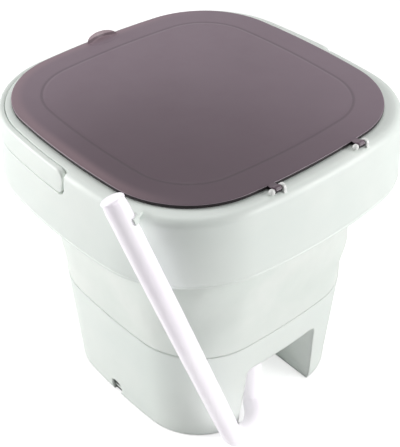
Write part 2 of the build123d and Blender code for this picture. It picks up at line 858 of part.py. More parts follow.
with BuildLine() as hose_path:
    FilletPolyline(*hose_points, radius=hose_radii)
hose_line = hose_path.wires()[0]
print("hose length", round(hose_line.length, 1))

with BuildPart() as drain_hose:
    with BuildSketch(Plane(hose_line @ 0, z_dir=hose_line % 0)):
        Circle(hose_radius)
        Circle(hose_bore, mode=Mode.SUBTRACT)
    sweep(path=hose_line)
finish(drain_hose, "drain_hose")

with BuildPart() as hose_clamp:
    with BuildSketch(Plane.XY.offset(hose_top_end - 12)):
        with Locations((outlet_x, outlet_y)):
            Circle(hose_radius + clamp_thickness)
            Circle(hose_radius + 0.05, mode=Mode.SUBTRACT)
    extrude(amount=clamp_width)
finish(hose_clamp, "hose_clamp")

# Stopper in the upper end of the hose
hose_end = Plane(hose_line @ 1, z_dir=hose_line % 1).offset(plug_gap)
with BuildPart() as hose_stopper:
    with BuildSketch(hose_end):
        Circle(hose_radius)
    extrude(amount=2.0)
    chamfer(hose_stopper.edges().sort_by(lambda e: (e.center() - hose_end.origin).dot(hose_end.z_dir))[-1], 0.8)
    with BuildSketch(hose_end):
        Circle(hose_bore - running_gap)
    extrude(amount=-plug_length)
finish(hose_stopper, "hose_stopper")

# Bellows: a soft sleeve with a clamped flange at each end


with BuildPart() as bellows:
    sleeve_low = sleeve_section(bellows_half_low, bellows_corner_low)
    add(leaning_block(sleeve_low, seam_height, bellows_top - seam_height, sleeve_taper))
    # Lower flange, which lies on the flange of the tub floor inside the housing
    with BuildSketch(Plane.XY.offset(flange_top + 0.1)):
        add(bowed_square(flange_half - 0.4, flange_half - 0.4, flange_corner - 0.4))
    extrude(amount=seam_height - flange_top)
    sleeve_inside = sleeve_section(bellows_half_low, bellows_corner_low, bellows_wall)
    inside_bottom = flange_top + 0.1 + bellows_flange
    sleeve_height = bellows_top - bellows_flange - inside_bottom
    add(leaning_block(sleeve_inside, inside_bottom, sleeve_height, sleeve_taper), mode=Mode.SUBTRACT)
    with BuildSketch(Plane.XY.offset(flange_top)):
        add(bowed_square(*tub_section(tub_half_top)))
    extrude(amount=bellows_flange * 2, mode=Mode.SUBTRACT)
    with BuildSketch(Plane.XY.offset(bellows_top)):
        add(bowed_square(throat_half, throat_half, throat_corner))
    extrude(amount=-bellows_flange * 2, mode=Mode.SUBTRACT)
finish(bellows, "bellows")

ring_bottom = flange_top + 0.1 + bellows_flange
with BuildPart() as lower_clamp_ring:
    with BuildSketch(Plane.XY.offset(ring_bottom)):
        add(bowed_square(*sleeve_section(bellows_half_low, bellows_corner_low, bellows_wall + 0.5)))
        add(bowed_square(*tub_section(tub_half_top)), mode=Mode.SUBTRACT)
    extrude(amount=ring_height)
finish(lower_clamp_ring, "lower_clamp_ring")

with BuildPart() as upper_clamp_collar:
    with BuildSketch(Plane.XY.offset(bellows_top - collar_height)):
        add(bowed_square(*sleeve_section(sleeve_half_top, sleeve_corner_top, -collar_width - running_gap)))
        inside = bowed_square(*sleeve_section(sleeve_half_top, sleeve_corner_top, -running_gap))
        add(inside, mode=Mode.SUBTRACT)
    extrude(amount=collar_height)
finish(upper_clamp_collar, "upper_clamp_collar")

# Upper tub wall: a sloping ring below the rim, with a foot that the bellows is clamped against
with BuildPart() as tub_collar:
    add(tub_passage(bellows_top, rim_height - rim_thickness, tub_skin))
    with BuildSketch(Plane.XY.offset(bellows_top)):
        add(bowed_square(*passage_section(bellows_top, tub_skin + ledge_ring)))
    extrude(amount=tub_skin)
    add(tub_passage(frame_bottom, rim_height), mode=Mode.SUBTRACT)
finish(tub_collar, "tub_collar")

# Upper frame: outer skirt and rim, with the recess for the handle
with BuildPart() as frame_hollow:
    add(frame_block(frame_bottom, thick_band_bottom, skirt_wall))
    add(frame_block(thick_band_bottom, rim_height - rim_thickness, thick_band))

with BuildPart() as handle_recess:
    with BuildSketch(Plane.XY.offset(handle_bottom - 0.9)):
        add(bowed_square(frame_half_x + 20, frame_half_y + 20, frame_corner, frame_centre))
        inner_x = handle_half_x - handle_thickness - handle_gap
        add(
            bowed_square(inner_x, frame_half_y - 1.5, frame_corner - 1.5, frame_centre),
            mode=Mode.SUBTRACT,
        )
    extrude(amount=rim_height)
    recess_limits = box_between(
        (-frame_half_x * 2, -frame_half_y * 2, 0),
        (frame_half_x * 2, handle_pivot_y + recess_reach, rim_height * 2),
    )
    add(recess_limits, mode=Mode.INTERSECT)

with BuildPart() as upper_frame:
    add(frame_block(frame_bottom, rim_height))
    fillet(upper_frame.faces().sort_by(Axis.Z)[-1].edges(), shoulder_round)
    add(frame_hollow.part, mode=Mode.SUBTRACT)
    add(tub_passage(frame_bottom, rim_height), mode=Mode.SUBTRACT)
    add(handle_recess.part, mode=Mode.SUBTRACT)
    # Blind bores for the handle's pivots
    for side in (-1, 1):
        pivot_plane = Plane.YZ.offset(side * (inner_x + 1))
        with BuildSketch(pivot_plane):
            with Locations((handle_pivot_y, handle_level)):
                Circle(pivot_radius + pivot_fit)
        extrude(amount=-side * (pivot_length + 1.5), mode=Mode.SUBTRACT)
    # One hinge ear for each knuckle on the back of the rim, beside a pocket for the knuckle
    for place in hinge_places:
        knuckle_space = box_between(
            (place - knuckle_half - hinge_side_gap, hinge_y - ear_radius - 1.5, hinge_height - knuckle_radius - 0.6),
            (place + knuckle_half + 3 * pin_head_radius, hinge_y + ear_radius + 8, hinge_height + 2 * ear_radius),
        )
        add(knuckle_space, mode=Mode.SUBTRACT)
        with BuildSketch(Plane.YZ.offset(place - knuckle_half - hinge_side_gap - ear_thickness)):
            with Locations((hinge_y, hinge_height)):
                Circle(ear_radius)
                Rectangle(2 * ear_radius, hinge_height - rim_height + 6, align=(Align.CENTER, Align.MAX))
                Circle(pin_radius, mode=Mode.SUBTRACT)
        extrude(amount=ear_thickness)
finish(upper_frame, "upper_frame")

# Hinge pins, each fixed in its ear and ending in a ball on the right of the knuckle
for pin_name, place in zip(("hinge_pin_left", "hinge_pin_right"), hinge_places):
    pin_start = place - knuckle_half - hinge_side_gap - ear_thickness
    ball_place = place + knuckle_half + hinge_side_gap + pin_head_radius * 0.85
    with BuildPart() as hinge_pin:
        with BuildSketch(Plane.YZ.offset(pin_start)):
            with Locations((hinge_y, hinge_height)):
                Circle(pin_radius)
        extrude(amount=ball_place - pin_start)
        with Locations((ball_place, hinge_y, hinge_height)):
            Sphere(pin_head_radius)
    finish(hinge_pin, pin_name)

# Lid: a flat flange, a slightly raised middle and two hinge knuckles
with BuildPart() as lid:
    with BuildSketch(Plane.XY.offset(lid_bottom)):
        add(bowed_square(lid_half, lid_half, lid_corner, lid_centre))
    extrude(amount=lid_thickness)
    chamfer(lid.faces().sort_by(Axis.Z)[-1].edges(), lid_edge_bevel)
    with BuildSketch(Plane.XY.offset(lid_top)):
        middle_half = lid_half - panel_inset
        add(bowed_square(middle_half, middle_half, lid_corner - panel_inset, lid_centre))
    extrude(amount=panel_rise)
    chamfer(lid.faces().sort_by(Axis.Z)[-1].edges(), panel_rise * 0.75)
    # Finger tab in the middle of the front edge
    with BuildSketch(Plane.XY.offset(lid_top - tab_thickness)):
        with Locations((tab_x, lid_centre - lid_half + 4)):
            Ellipse(tab_half, tab_reach + 4)
    extrude(amount=tab_thickness)
    # Knuckles, each on a short arm over the rim
    for place in hinge_places:
        with BuildSketch(Plane.YZ.offset(place - knuckle_half)):
            with Locations((hinge_y, hinge_height)):
                Circle(knuckle_radius)
            with Locations((hinge_y, lid_bottom)):
                Rectangle(14, lid_thickness, align=(Align.MAX, Align.MIN))
        extrude(amount=2 * knuckle_half)
        with BuildSketch(Plane.YZ.offset(place - knuckle_half)):
            with Locations((hinge_y, hinge_height)):
                Circle(pin_radius + pin_fit)
        extrude(amount=2 * knuckle_half, mode=Mode.SUBTRACT)
finish(lid, "lid")

# Soft sealing lip under the lid, which dips into the mouth of the tub
with BuildPart() as lid_seal:
    with BuildSketch(Plane.XY.offset(lid_bottom)):
        seal_half = mouth_half - seal_clearance
        add(bowed_square(seal_half, seal_half, mouth_corner - seal_clearance))
        seal_half = mouth_half - seal_clearance - seal_width
        seal_corner = mouth_corner - seal_clearance - seal_width
        add(bowed_square(seal_half, seal_half, seal_corner), mode=Mode.SUBTRACT)
    extrude(amount=-seal_depth)
finish(lid_seal, "lid_seal")

# Carry handle: a flat bail with round ends and two pivots that enter the rim
with BuildPart() as carry_handle:
    with BuildSketch(Plane.XY.offset(handle_bottom)):
        front_half = handle_front + frame_centre
        add(bowed_square(handle_half_x, front_half, handle_corner, frame_centre))
        add(
            bowed_square(
                handle_half_x - handle_thickness,
                front_half - handle_thickness,
                handle_corner - handle_thickness,
                frame_centre,
            ),
            mode=Mode.SUBTRACT,
        )
    extrude(amount=handle_top - handle_bottom)
    bail_limits = box_between(
        (-frame_half_x * 2, -frame_half_y * 2, 0),
        (frame_half_x * 2, handle_pivot_y + handle_end, rim_height * 2),
    )
    add(bail_limits, mode=Mode.INTERSECT)
    fillet(carry_handle.edges().filter_by(Axis.X).group_by(Axis.Y)[-1], handle_end_round)
    for side in (-1, 1):
        with BuildSketch(Plane.YZ.offset(side * (handle_half_x - handle_thickness / 2))):
            with Locations((handle_pivot_y, handle_level)):
                Circle(pivot_radius)
        extrude(amount=-side * (handle_thickness / 2 + handle_gap + pivot_length))
finish(carry_handle, "carry_handle")

# Hose clip: a half ring round the hose on an arm that is fixed to the top of the rim
clip_share = 0.5
for step in range(60):
    clip_share = clip_share + (clip_level - (hose_line @ clip_share).Z) / 400
clip_plane = Plane(hose_line @ clip_share, z_dir=hose_line % clip_share, x_dir=(1, 0, 0))
clip_middle = clip_plane.origin
wall_direction = Vector(68.0, 59.0, clip_middle.Z) - clip_middle
ring_angle = degrees(
    atan2(wall_direction.dot(clip_plane.y_dir), wall_direction.dot(clip_plane.x_dir))
)
arm_angle = degrees(atan2(wall_direction.Y, wall_direction.X))
with BuildPart() as clip_hole:
    with BuildSketch(clip_plane):
        Circle(hose_radius + clip_gap)
        with Locations(Location((0, 0, 0), ring_angle + 180)):
            with Locations((hose_radius * 0.45, 0)):
                Rectangle(30, 40, align=(Align.MIN, Align.CENTER))
    extrude(amount=4 * clip_height, both=True)
with BuildPart() as hose_clip:
    with BuildSketch(clip_plane):
        Circle(hose_radius + clip_gap + clip_wall)
    extrude(amount=clip_height / 2, both=True)
    with BuildSketch(Plane.XY.offset(rim_height)):
        with Locations(Location((clip_middle.X, clip_middle.Y, 0), arm_angle)):
            Rectangle(clip_arm_length, clip_arm_width, align=(Align.MIN, Align.CENTER))
    extrude(amount=clip_arm_thickness)
    add(clip_hole.part, mode=Mode.SUBTRACT)
finish(hose_clip, "hose_clip")
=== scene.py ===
import bmesh
import bpy
import json
import numpy as np
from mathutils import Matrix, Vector
from math import atan2, cos, pi, radians, sin, sqrt, tan


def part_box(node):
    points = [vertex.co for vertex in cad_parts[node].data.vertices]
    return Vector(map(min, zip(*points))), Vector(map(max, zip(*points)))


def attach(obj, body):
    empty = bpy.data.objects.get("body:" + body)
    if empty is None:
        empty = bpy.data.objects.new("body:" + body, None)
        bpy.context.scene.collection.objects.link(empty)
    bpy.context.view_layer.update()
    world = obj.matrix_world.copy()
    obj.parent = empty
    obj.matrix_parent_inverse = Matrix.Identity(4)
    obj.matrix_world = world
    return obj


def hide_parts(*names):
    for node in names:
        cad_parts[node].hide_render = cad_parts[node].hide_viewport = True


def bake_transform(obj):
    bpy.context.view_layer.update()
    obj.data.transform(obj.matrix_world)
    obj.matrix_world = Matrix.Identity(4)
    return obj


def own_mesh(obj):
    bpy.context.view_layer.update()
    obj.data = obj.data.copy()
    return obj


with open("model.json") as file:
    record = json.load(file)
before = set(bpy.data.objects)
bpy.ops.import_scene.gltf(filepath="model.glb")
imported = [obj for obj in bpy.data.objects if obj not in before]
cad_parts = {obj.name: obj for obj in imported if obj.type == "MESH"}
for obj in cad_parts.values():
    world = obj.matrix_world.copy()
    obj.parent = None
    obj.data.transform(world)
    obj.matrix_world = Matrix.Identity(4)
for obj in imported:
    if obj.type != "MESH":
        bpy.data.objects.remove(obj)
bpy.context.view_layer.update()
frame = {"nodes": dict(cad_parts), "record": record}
record = frame["record"]
slotOf = {part["node"]: part["material_slot"] for part in record["subparts"]}
bodyOf = {node: body for body, group in record["behaviour"]["bodies"].items() for node in group}
print("frame loaded,", len(frame["nodes"]), "nodes")

# The photograph's view, fitted to the outline of the object in it
cameraView = {"place": (0.5363, 0.6105, 0.8007), "target": (0.084, 0.092, 0.265), "lens": 82.55}


def addObject(name, data):
    # A new object for a mesh, a lamp or a camera, linked into the scene
    made = bpy.data.objects.new(name, data)
    bpy.context.scene.collection.objects.link(made)
    return made


def lookingAt(place, target):
    # The turn that points an object's -Z axis from its place to the target
    return (Vector(target) - Vector(place)).to_track_quat("-Z", "Y").to_euler()


cameraData = bpy.data.cameras.new("camera")
cameraData.lens = cameraView["lens"]
camera = addObject("camera", cameraData)
camera.location = cameraView["place"]
camera.rotation_euler = lookingAt(cameraView["place"], cameraView["target"])
bpy.context.scene.camera = camera
bpy.context.scene.view_settings.view_transform = "Standard"


# One output socket of a node tree. Arithmetic on it adds Math nodes to the same tree.
class Wire:
    def __init__(self, tree, socket=None):
        self.tree = tree
        self.socket = socket

    # Any node: its type, its settings first, then the values or links of its sockets
    def node(self, kind, settings=None, sockets=None, out=0):
        made = self.tree.nodes.new("ShaderNode" + kind)
        for key, value in (settings or {}).items():
            setattr(made, key, value)
        for key, value in (sockets or {}).items():
            if isinstance(value, Wire):
                self.tree.links.new(value.socket, made.inputs[key])
            else:
                made.inputs[key].default_value = value
        return Wire(self.tree, made.outputs[out] if len(made.outputs) else None)

    def math(self, operation, first, second=0.0):
        return self.node("Math", {"operation": operation}, {0: first, 1: second})

    def __add__(self, other):
        return self.math("ADD", self, other)

    __radd__ = __add__

    def __mul__(self, other):
        return self.math("MULTIPLY", self, other)

    __rmul__ = __mul__

    def __sub__(self, other):
        return self.math("SUBTRACT", self, other)

    def __rsub__(self, other):
        return self.math("SUBTRACT", other, self)

    def __truediv__(self, other):
        return self.math("DIVIDE", self, other)

    def __pow__(self, other):
        return self.math("POWER", self, other)

    def __abs__(self):
        return self.math("ABSOLUTE", self)

    # 0 below low, 1 above high and a smooth step between
    def ramp(self, low, high):
        sockets = {"Value": self, "From Min": low, "From Max": high, "To Min": 0.0, "To Max": 1.0}
        return self.node("MapRange", {"interpolation_type": "SMOOTHSTEP"}, sockets)

    # A value from 0 to 1 spread evenly over low to high
    def spread(self, low, high):
        return self * (high - low) + low

    # first where factor is 0 and second where it is 1, by the Mix node's sockets for colours
    def tint(self, factor, first, second):
        return self.node("Mix", {"data_type": "RGBA"}, {0: factor, 6: first, 7: second}, 2)

    # The place on the piece, in its object's own coordinates
    def place(self):
        return self.node("TexCoord", out="Object")

    def noise(self, vector, scale, detail=2.0, roughness=0.5):
        sockets = {"Vector": vector, "Scale": scale, "Detail": detail, "Roughness": roughness}
        return self.node("TexNoise", None, sockets)

    def bump(self, height, strength, distance, normal=None):
        sockets = {"Height": height, "Strength": strength, "Distance": distance}
        if normal is not None:
            sockets["Normal"] = normal
        return self.node("Bump", None, sockets)


def colour(red, green, blue):
    # A screen colour from 0 to 255 as the linear colour that a shader takes, by the sRGB curve:
    # part / 12.92 up to 0.04045, and ((part + 0.055) / 1.055) ^ 2.4 above it
    part = np.array([red, green, blue]) / 255.0
    return (*np.where(part <= 0.04045, part / 12.92, ((part + 0.055) / 1.055) ** 2.4), 1.0)


def grey(level):
    return (level, level, level, 1)


def emptyTree(tree):
    # The node tree without the nodes that Blender puts in
    tree.nodes.clear()
    return Wire(tree)


def startMaterial(name):
    material = bpy.data.materials.new(name)
    material.use_nodes = True
    return material, emptyTree(material.node_tree)


def endMaterial(desk, shade, gloss, normal, others):
    # The Principled shader: changing values are linked to it and even ones set on it
    sockets = {"Base Color": shade, "Roughness": gloss, "Normal": normal, **others}
    desk.node("OutputMaterial", None, {"Surface": desk.node("BsdfPrincipled", None, sockets)})


# Two screen colours, the range of the roughness, the scales of the clouds and the grain, and how deep
# the grain's bumps and the broad waves are, in metres
mouldedFinishes = {
    "housing": {
        "light": (240, 245, 240), "dark": (233, 240, 235), "rough": (0.36, 0.50), "coat": 0.10,
        "cloud": 9.0, "grain": 1500.0, "depth": 0.00004, "wave": 0.0020,
    },
    "bellows": {
        "light": (239, 243, 238), "dark": (229, 236, 230), "rough": (0.50, 0.66),
        "cloud": 14.0, "grain": 1100.0, "depth": 0.00005, "wave": 0.0044, "sheen": 0.12,
    },
    "tub": {
        "light": (226, 233, 228), "dark": (215, 223, 218), "rough": (0.24, 0.34), "coat": 0.15,
        "cloud": 11.0, "grain": 1700.0, "depth": 0.00002, "wave": 0.0016,
    },
    "pulsator": {
        "light": (228, 236, 231), "dark": (214, 224, 219), "rough": (0.20, 0.30), "coat": 0.20,
        "cloud": 16.0, "grain": 1700.0, "depth": 0.00002, "wave": 0.0012,
    },
    "lid_hinge": {
        "light": (240, 240, 238), "dark": (230, 231, 229), "rough": (0.30, 0.42), "coat": 0.10,
        "cloud": 60.0, "grain": 2200.0, "depth": 0.00002, "wave": 0.0004,
    },
    # The hose's paintedGlow is a painted glow: the hose gives off light in its own colour, which lifts its
    # shaded side
    "hose": {
        "light": (254, 250, 255), "dark": (251, 245, 253), "rough": (0.34, 0.46), "coat": 0.12,
        "cloud": 18.0, "grain": 1300.0, "depth": 0.00003, "wave": 0.0028, "sheen": 0.05, "paintedGlow": 0.22,
    },
    "dark_rubber": {
        "light": (52, 52, 53), "dark": (38, 38, 40), "rough": (0.66, 0.82),
        "cloud": 40.0, "grain": 1600.0, "depth": 0.00006, "wave": 0.0008, "sheen": 0.10,
    },
    "dark_plastic": {
        "light": (56, 54, 58), "dark": (44, 43, 47), "rough": (0.34, 0.48), "coat": 0.08,
        "cloud": 22.0, "grain": 1800.0, "depth": 0.00004, "wave": 0.0006,
    },
    "buttons": {
        "light": (214, 218, 217), "dark": (202, 207, 205), "rough": (0.26, 0.36), "coat": 0.20,
        "cloud": 70.0, "grain": 2000.0, "depth": 0.00002, "wave": 0.0004,
    },
}

# What all moulded finishes share. A noise is given by its detail and roughness.
mouldedMix = {
    "cloudNoise": (3.0, 0.55), "grainNoise": (2.0, 0.6), "smearNoise": (4.0, 0.6), "smearScale": 3.7,
    "cloudRange": (0.32, 0.70), "smearRange": (0.3, 0.7), "cloudShare": 0.8, "grainShare": 0.2,
    "waveStrength": 0.5, "grainStrength": 0.6, "coatRough": 0.25, "index": 1.47, "softSamples": 6,
}


def mouldedFinish(name, look, mix):
    # The colour goes from dark to light with cloud * cloudShare + grain * grainShare, and the roughness
    # over its range with a finer cloud, the smear. The grain's bumps lie on the broad waves.
    material, desk = startMaterial(name)
    place = desk.place()
    cloud = desk.noise(place, look["cloud"], *mix["cloudNoise"])
    grain = desk.noise(place, look["grain"], *mix["grainNoise"])
    smear = desk.noise(place, look["cloud"] * mix["smearScale"], *mix["smearNoise"])
    tone = cloud.ramp(*mix["cloudRange"]) * mix["cloudShare"] + grain * mix["grainShare"]
    shade = desk.tint(tone, colour(*look["dark"]), colour(*look["light"]))
    gloss = smear.ramp(*mix["smearRange"]).spread(*look["rough"])
    soft = None
    if "soft" in look:
        soft = desk.node("Bevel", {"samples": mix["softSamples"]}, {"Radius": look["soft"]})
    wave = desk.bump(cloud, mix["waveStrength"], look["wave"], soft)
    normal = desk.bump(grain, mix["grainStrength"], look["depth"], wave)
    # Emission Strength is a painted glow in the finish's own colour, set only where a finish has paintedGlow
    endMaterial(desk, shade, gloss, normal, {
        "Coat Weight": look.get("coat", 0.0), "Coat Roughness": mix["coatRough"], "IOR": mix["index"],
        "Sheen Weight": look.get("sheen", 0.0), "Emission Strength": look.get("paintedGlow", 0.0),
        "Emission Color": shade,
    })
    return material


# The base has the housing's finish, with the moulding's softened edges
mouldedFinishes["base"] = {**mouldedFinishes["housing"], "soft": 0.004}
finishes = {name: mouldedFinish(name, look, mouldedMix) for name, look in mouldedFinishes.items()}

# Screen colours, and for each part of the look where it lies and how much it counts: slope and sides
# are ranges of x + y and |x - y|, a reach is one of outwards, and ring to line are ones of the height
lidLook = {
    # far and near are a painted reflection and shade across the plate, edge the painted highlight line, side
    # the painted shade, band and lip painted highlights
    "far": (127, 110, 121), "near": (84, 67, 77), "edge": (190, 178, 187), "side": (34, 26, 31),
    "band": (160, 134, 140), "lip": (190, 170, 176),
    "half": 0.150, "middleY": -0.009, "power": 3.6,
    "slope": (-0.26, 0.20), "sides": (0.04, 0.26), "sidesShare": 0.45, "toneRange": (-0.1, 1.1),
    "haze": 5.0, "hazeNoise": (3.0, 0.5), "hazeRange": (0.3, 0.7), "hazeShare": 0.2,
    "hazeBump": (0.35, 0.002),
    "litBandReach": (0.70, 0.88), "litBandSide": (-0.02, 0.13), "litBandShare": 0.4,
    "ring": (0.31444, 0.31459), "grooveShadeReach": (0.7, 0.8), "grooveShadeShare": 0.3,
    "tabEnd": (-0.15, -0.14), "hollow": (0.3152, 0.3158), "hollowShadeShare": 0.4,
    "lipHeight": (0.3170, 0.3180), "lipHighlightShare": 0.8,
    "under": (0.3139, 0.3142), "underShadeReach": (0.86, 0.93),
    "highlightStart": (0.3140, 0.3143), "highlightEnd": (0.31432, 0.31438), "highlightShare": 0.6,
    "grain": 1400.0, "grainNoise": (2.0, 0.6), "grainBump": (0.1, 0.00001),
    "scuff": 46.0, "scuffNoise": (5.0, 0.65), "scuffRange": (0.3, 0.75), "rough": (0.36, 0.46),
    "coat": 0.06, "coatRough": 0.3, "index": 1.46, "shine": 0.35,
}


def lidFinish(look):
    # Smoky plastic. Its tone goes from far to near with slope - sides * sidesShare + haze * hazeShare: a
    # painted reflection and shade, lighter at the far end and the sides and darker at the near corner, with a
    # random haze.
    # Over it lie, in turn, a painted highlight band, painted shade in the ring's groove, painted shade in the
    # tab's hollow and a painted highlight on its lip, painted shade on the under edge and a painted highlight
    # line on the upper edge. The gloss has a fine scuff.
    material, desk = startMaterial("lid")
    place = desk.place()
    x, y, height = (desk.node("SeparateXYZ", None, {0: place}, k) for k in range(3))
    haze = desk.noise(place, look["haze"], *look["hazeNoise"])
    grain = desk.noise(place, look["grain"], *look["grainNoise"])
    scuff = desk.noise(place, look["scuff"], *look["scuffNoise"])
    # Painted reflection and shade: lighter towards the far end and the far sides, darker at the near corner
    slope = (x + y).ramp(*look["slope"])
    sides = abs(x - y).ramp(*look["sides"])
    drift = (haze.ramp(*look["hazeRange"]) - 0.5) * look["hazeShare"]
    tone = (slope - sides * look["sidesShare"] + drift).ramp(*look["toneRange"])
    plate = desk.tint(tone, colour(*look["far"]), colour(*look["near"]))
    # outwards = (|x| / half)^power + (|y - middleY| / half)^power, which is 1 near the plate's outline
    offX, offY = abs(x) / look["half"], abs(y - look["middleY"]) / look["half"]
    outwards = offX ** look["power"] + offY ** look["power"]
    dark = colour(*look["side"])
    # Painted highlight: a lighter band round the flange on one side of the lid
    band = outwards.ramp(*look["litBandReach"]) * (x - y).ramp(*look["litBandSide"])
    plate = desk.tint(band * look["litBandShare"], plate, colour(*look["band"]))
    # Painted shade: a dark ring along the groove round the raised middle
    ring = (1 - height.ramp(*look["ring"])) * (1 - outwards.ramp(*look["grooveShadeReach"]))
    plate = desk.tint(ring * look["grooveShadeShare"], plate, dark)
    # Painted shade inside the tab's rising lip, and a painted highlight on the lip's top
    onTab = 1 - y.ramp(*look["tabEnd"])
    plate = desk.tint(onTab * height.ramp(*look["hollow"]) * look["hollowShadeShare"], plate, dark)
    plate = desk.tint(onTab * height.ramp(*look["lipHeight"]) * look["lipHighlightShare"], plate, colour(*look["lip"]))
    # Painted shade on the plate's side and under side near its edge
    under = (1 - height.ramp(*look["under"])) * outwards.ramp(*look["underShadeReach"])
    plate = desk.tint(under, plate, dark)
    # Painted highlight: a pale line along the top of the rounded edge
    line = height.ramp(*look["highlightStart"]) * (1 - height.ramp(*look["highlightEnd"]))
    shade = desk.tint(line * look["highlightShare"], plate, colour(*look["edge"]))
    gloss = scuff.ramp(*look["scuffRange"]).spread(*look["rough"])
    normal = desk.bump(grain, *look["grainBump"], desk.bump(haze, *look["hazeBump"]))
    endMaterial(desk, shade, gloss, normal, {
        "Coat Weight": look["coat"], "Coat Roughness": look["coatRough"], "IOR": look["index"],
        "Specular IOR Level": look["shine"],
    })
    return material


finishes["lid"] = lidFinish(lidLook)

metalLooks = {
    "steel": {"light": (188, 190, 192), "dark": (160, 162, 165), "rough": (0.22, 0.40), "streak": 900.0},
    "motor": {"light": (170, 173, 176), "dark": (140, 143, 147), "rough": (0.34, 0.52), "streak": 420.0},
}
metalMix = {
    "stretch": (0.08, 0.08, 1.0), "streakNoise": (3.0, 0.6), "streakShare": 0.6, "streakBump": (0.3, 0.00004),
    "tarnish": 60.0, "tarnishNoise": (4.0, 0.6), "tarnishShare": 0.4,
}


def metalFinish(name, look, mix):
    # Turned metal: streaks that follow the height, and a cloudy tarnish that also sets the roughness
    material, desk = startMaterial(name)
    place = desk.place()
    stretched = desk.node("Mapping", None, {"Vector": place, "Scale": mix["stretch"]})
    streak = desk.noise(stretched, look["streak"], *mix["streakNoise"])
    tarnish = desk.noise(place, mix["tarnish"], *mix["tarnishNoise"])
    tone = streak * mix["streakShare"] + tarnish * mix["tarnishShare"]
    shade = desk.tint(tone, colour(*look["dark"]), colour(*look["light"]))
    normal = desk.bump(streak, *mix["streakBump"])
    endMaterial(desk, shade, tarnish.spread(*look["rough"]), normal, {"Metallic": 1.0})
    return material


for metalName, metalLook in metalLooks.items():
    finishes[metalName] = metalFinish(metalName, metalLook, metalMix)

boardLook = {
    "dark": (28, 84, 44), "light": (52, 120, 66), "tracks": 220.0, "waver": 3.0, "trackBump": (0.3, 0.0001),
    "cloud": 80.0, "cloudDetail": 3.0, "share": 0.3, "rough": (0.35, 0.55),
}


def boardFinish(look):
    # Solder resist with faint tracks, each track and cloud with the same share of the tone
    material, desk = startMaterial("board")
    place = desk.place()
    bands = {"wave_type": "BANDS", "bands_direction": "X"}
    sockets = {"Vector": place, "Scale": look["tracks"], "Distortion": look["waver"]}
    tracks = desk.node("TexWave", bands, sockets)
    cloud = desk.noise(place, look["cloud"], look["cloudDetail"])
    tone = tracks * look["share"] + cloud * look["share"]
    shade = desk.tint(tone, colour(*look["dark"]), colour(*look["light"]))
    normal = desk.bump(tracks, *look["trackBump"])
    endMaterial(desk, shade, cloud.spread(*look["rough"]), normal, {})
    return material


finishes["board"] = boardFinish(boardLook)
print("finishes made,", len(finishes))


def smoothObject(name, mesh, sharp):
    # The mesh as an object, smooth except where faces meet at more than sharp degrees
    mesh.shade_smooth()
    mesh.set_sharp_from_angle(angle=radians(sharp))
    return addObject(name, mesh)


def welded(mesh, distance, outwards=False):
    # The mesh with points within the distance merged and, where asked for, its faces turned outwards
    build = bmesh.new()
    build.from_mesh(mesh)
    bmesh.ops.remove_doubles(build, verts=build.verts, dist=distance)
    if outwards:
        bmesh.ops.recalc_face_normals(build, faces=build.faces)
        if build.calc_volume(signed=True) < 0:
            bmesh.ops.reverse_faces(build, faces=build.faces)
    build.to_mesh(mesh)
    build.free()
    return mesh


def gridMesh(name, grid, sharp, wrapRows=False, poles=False):
    # grid[row, column] holds points. Neighbouring rows and columns are joined by quads, the last
    # column to the first. With wrapRows the last row joins the first too, and with poles the first
    # and last row are each closed by a fan to their middle.
    rows, columns = grid.shape[:2]
    index = np.arange(rows * columns).reshape(rows, columns)
    lower = index if wrapRows else index[:-1]
    upper = np.roll(index, -1, 0) if wrapRows else index[1:]
    quads = np.stack([lower, np.roll(lower, -1, 1), np.roll(upper, -1, 1), upper], -1)
    faces = quads.reshape(-1, 4).tolist()
    points = grid.reshape(-1, 3)
    if poles:
        middles = np.array([grid[0].mean(0), grid[-1].mean(0)])
        points = np.vstack([points, middles])
        for ring, pole in ((index[0], rows * columns), (index[-1], rows * columns + 1)):
            after = np.roll(ring, -1)
            fan = np.stack([ring, after, np.full(columns, pole)], -1)
            faces += fan.tolist()
    mesh = bpy.data.meshes.new(name)
    mesh.from_pydata(points, [], faces)
    mesh.validate()
    return smoothObject(name, welded(mesh, 2e-7, outwards=True), sharp)


def dress(piece, body, finish, *nodes):
    # The piece's finish and slot, the body that it rides on and the nodes that it replaces
    piece.data.materials.clear()
    piece.data.materials.append(finishes[finish])
    if body:
        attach(piece, body)
    if nodes:
        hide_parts(*nodes)
    return piece


sideBow = 0.6  # all four sides bow outwards on an arc about a centre this far beyond the middle


def sideMeeting(halfX, halfY):
    # Where two bowed sides meet: where circles of the radii sideBow + halfX and sideBow + halfY cross
    radiusX, radiusY, spread = sideBow + halfX, sideBow + halfY, sideBow * sqrt(2)
    along = (radiusX**2 - radiusY**2 + spread**2) / (2 * spread)
    out = np.sqrt(radiusX**2 - along**2)
    return (out + along) / sqrt(2) - sideBow, (out - along) / sqrt(2)


def sideTurn(outline):
    # Half of the angle that a left or right side of the outline spans about its arc's centre
    halfX, halfY, corner, _ = outline
    centreX, centreY = sideMeeting(halfX - corner, halfY - corner)
    return atan2(centreY, centreX + sideBow)


def stations(perSide, perCorner):
    # Places round an outline, in eighths: even numbers start a side and odd ones a corner
    side = np.arange(perSide) / perSide
    bend = np.arange(perCorner) / perCorner
    return np.concatenate([np.concatenate([2 * k + side, 2 * k + 1 + bend]) for k in range(4)])


outlineFine = (26, 34)  # the stations of a side and of a corner


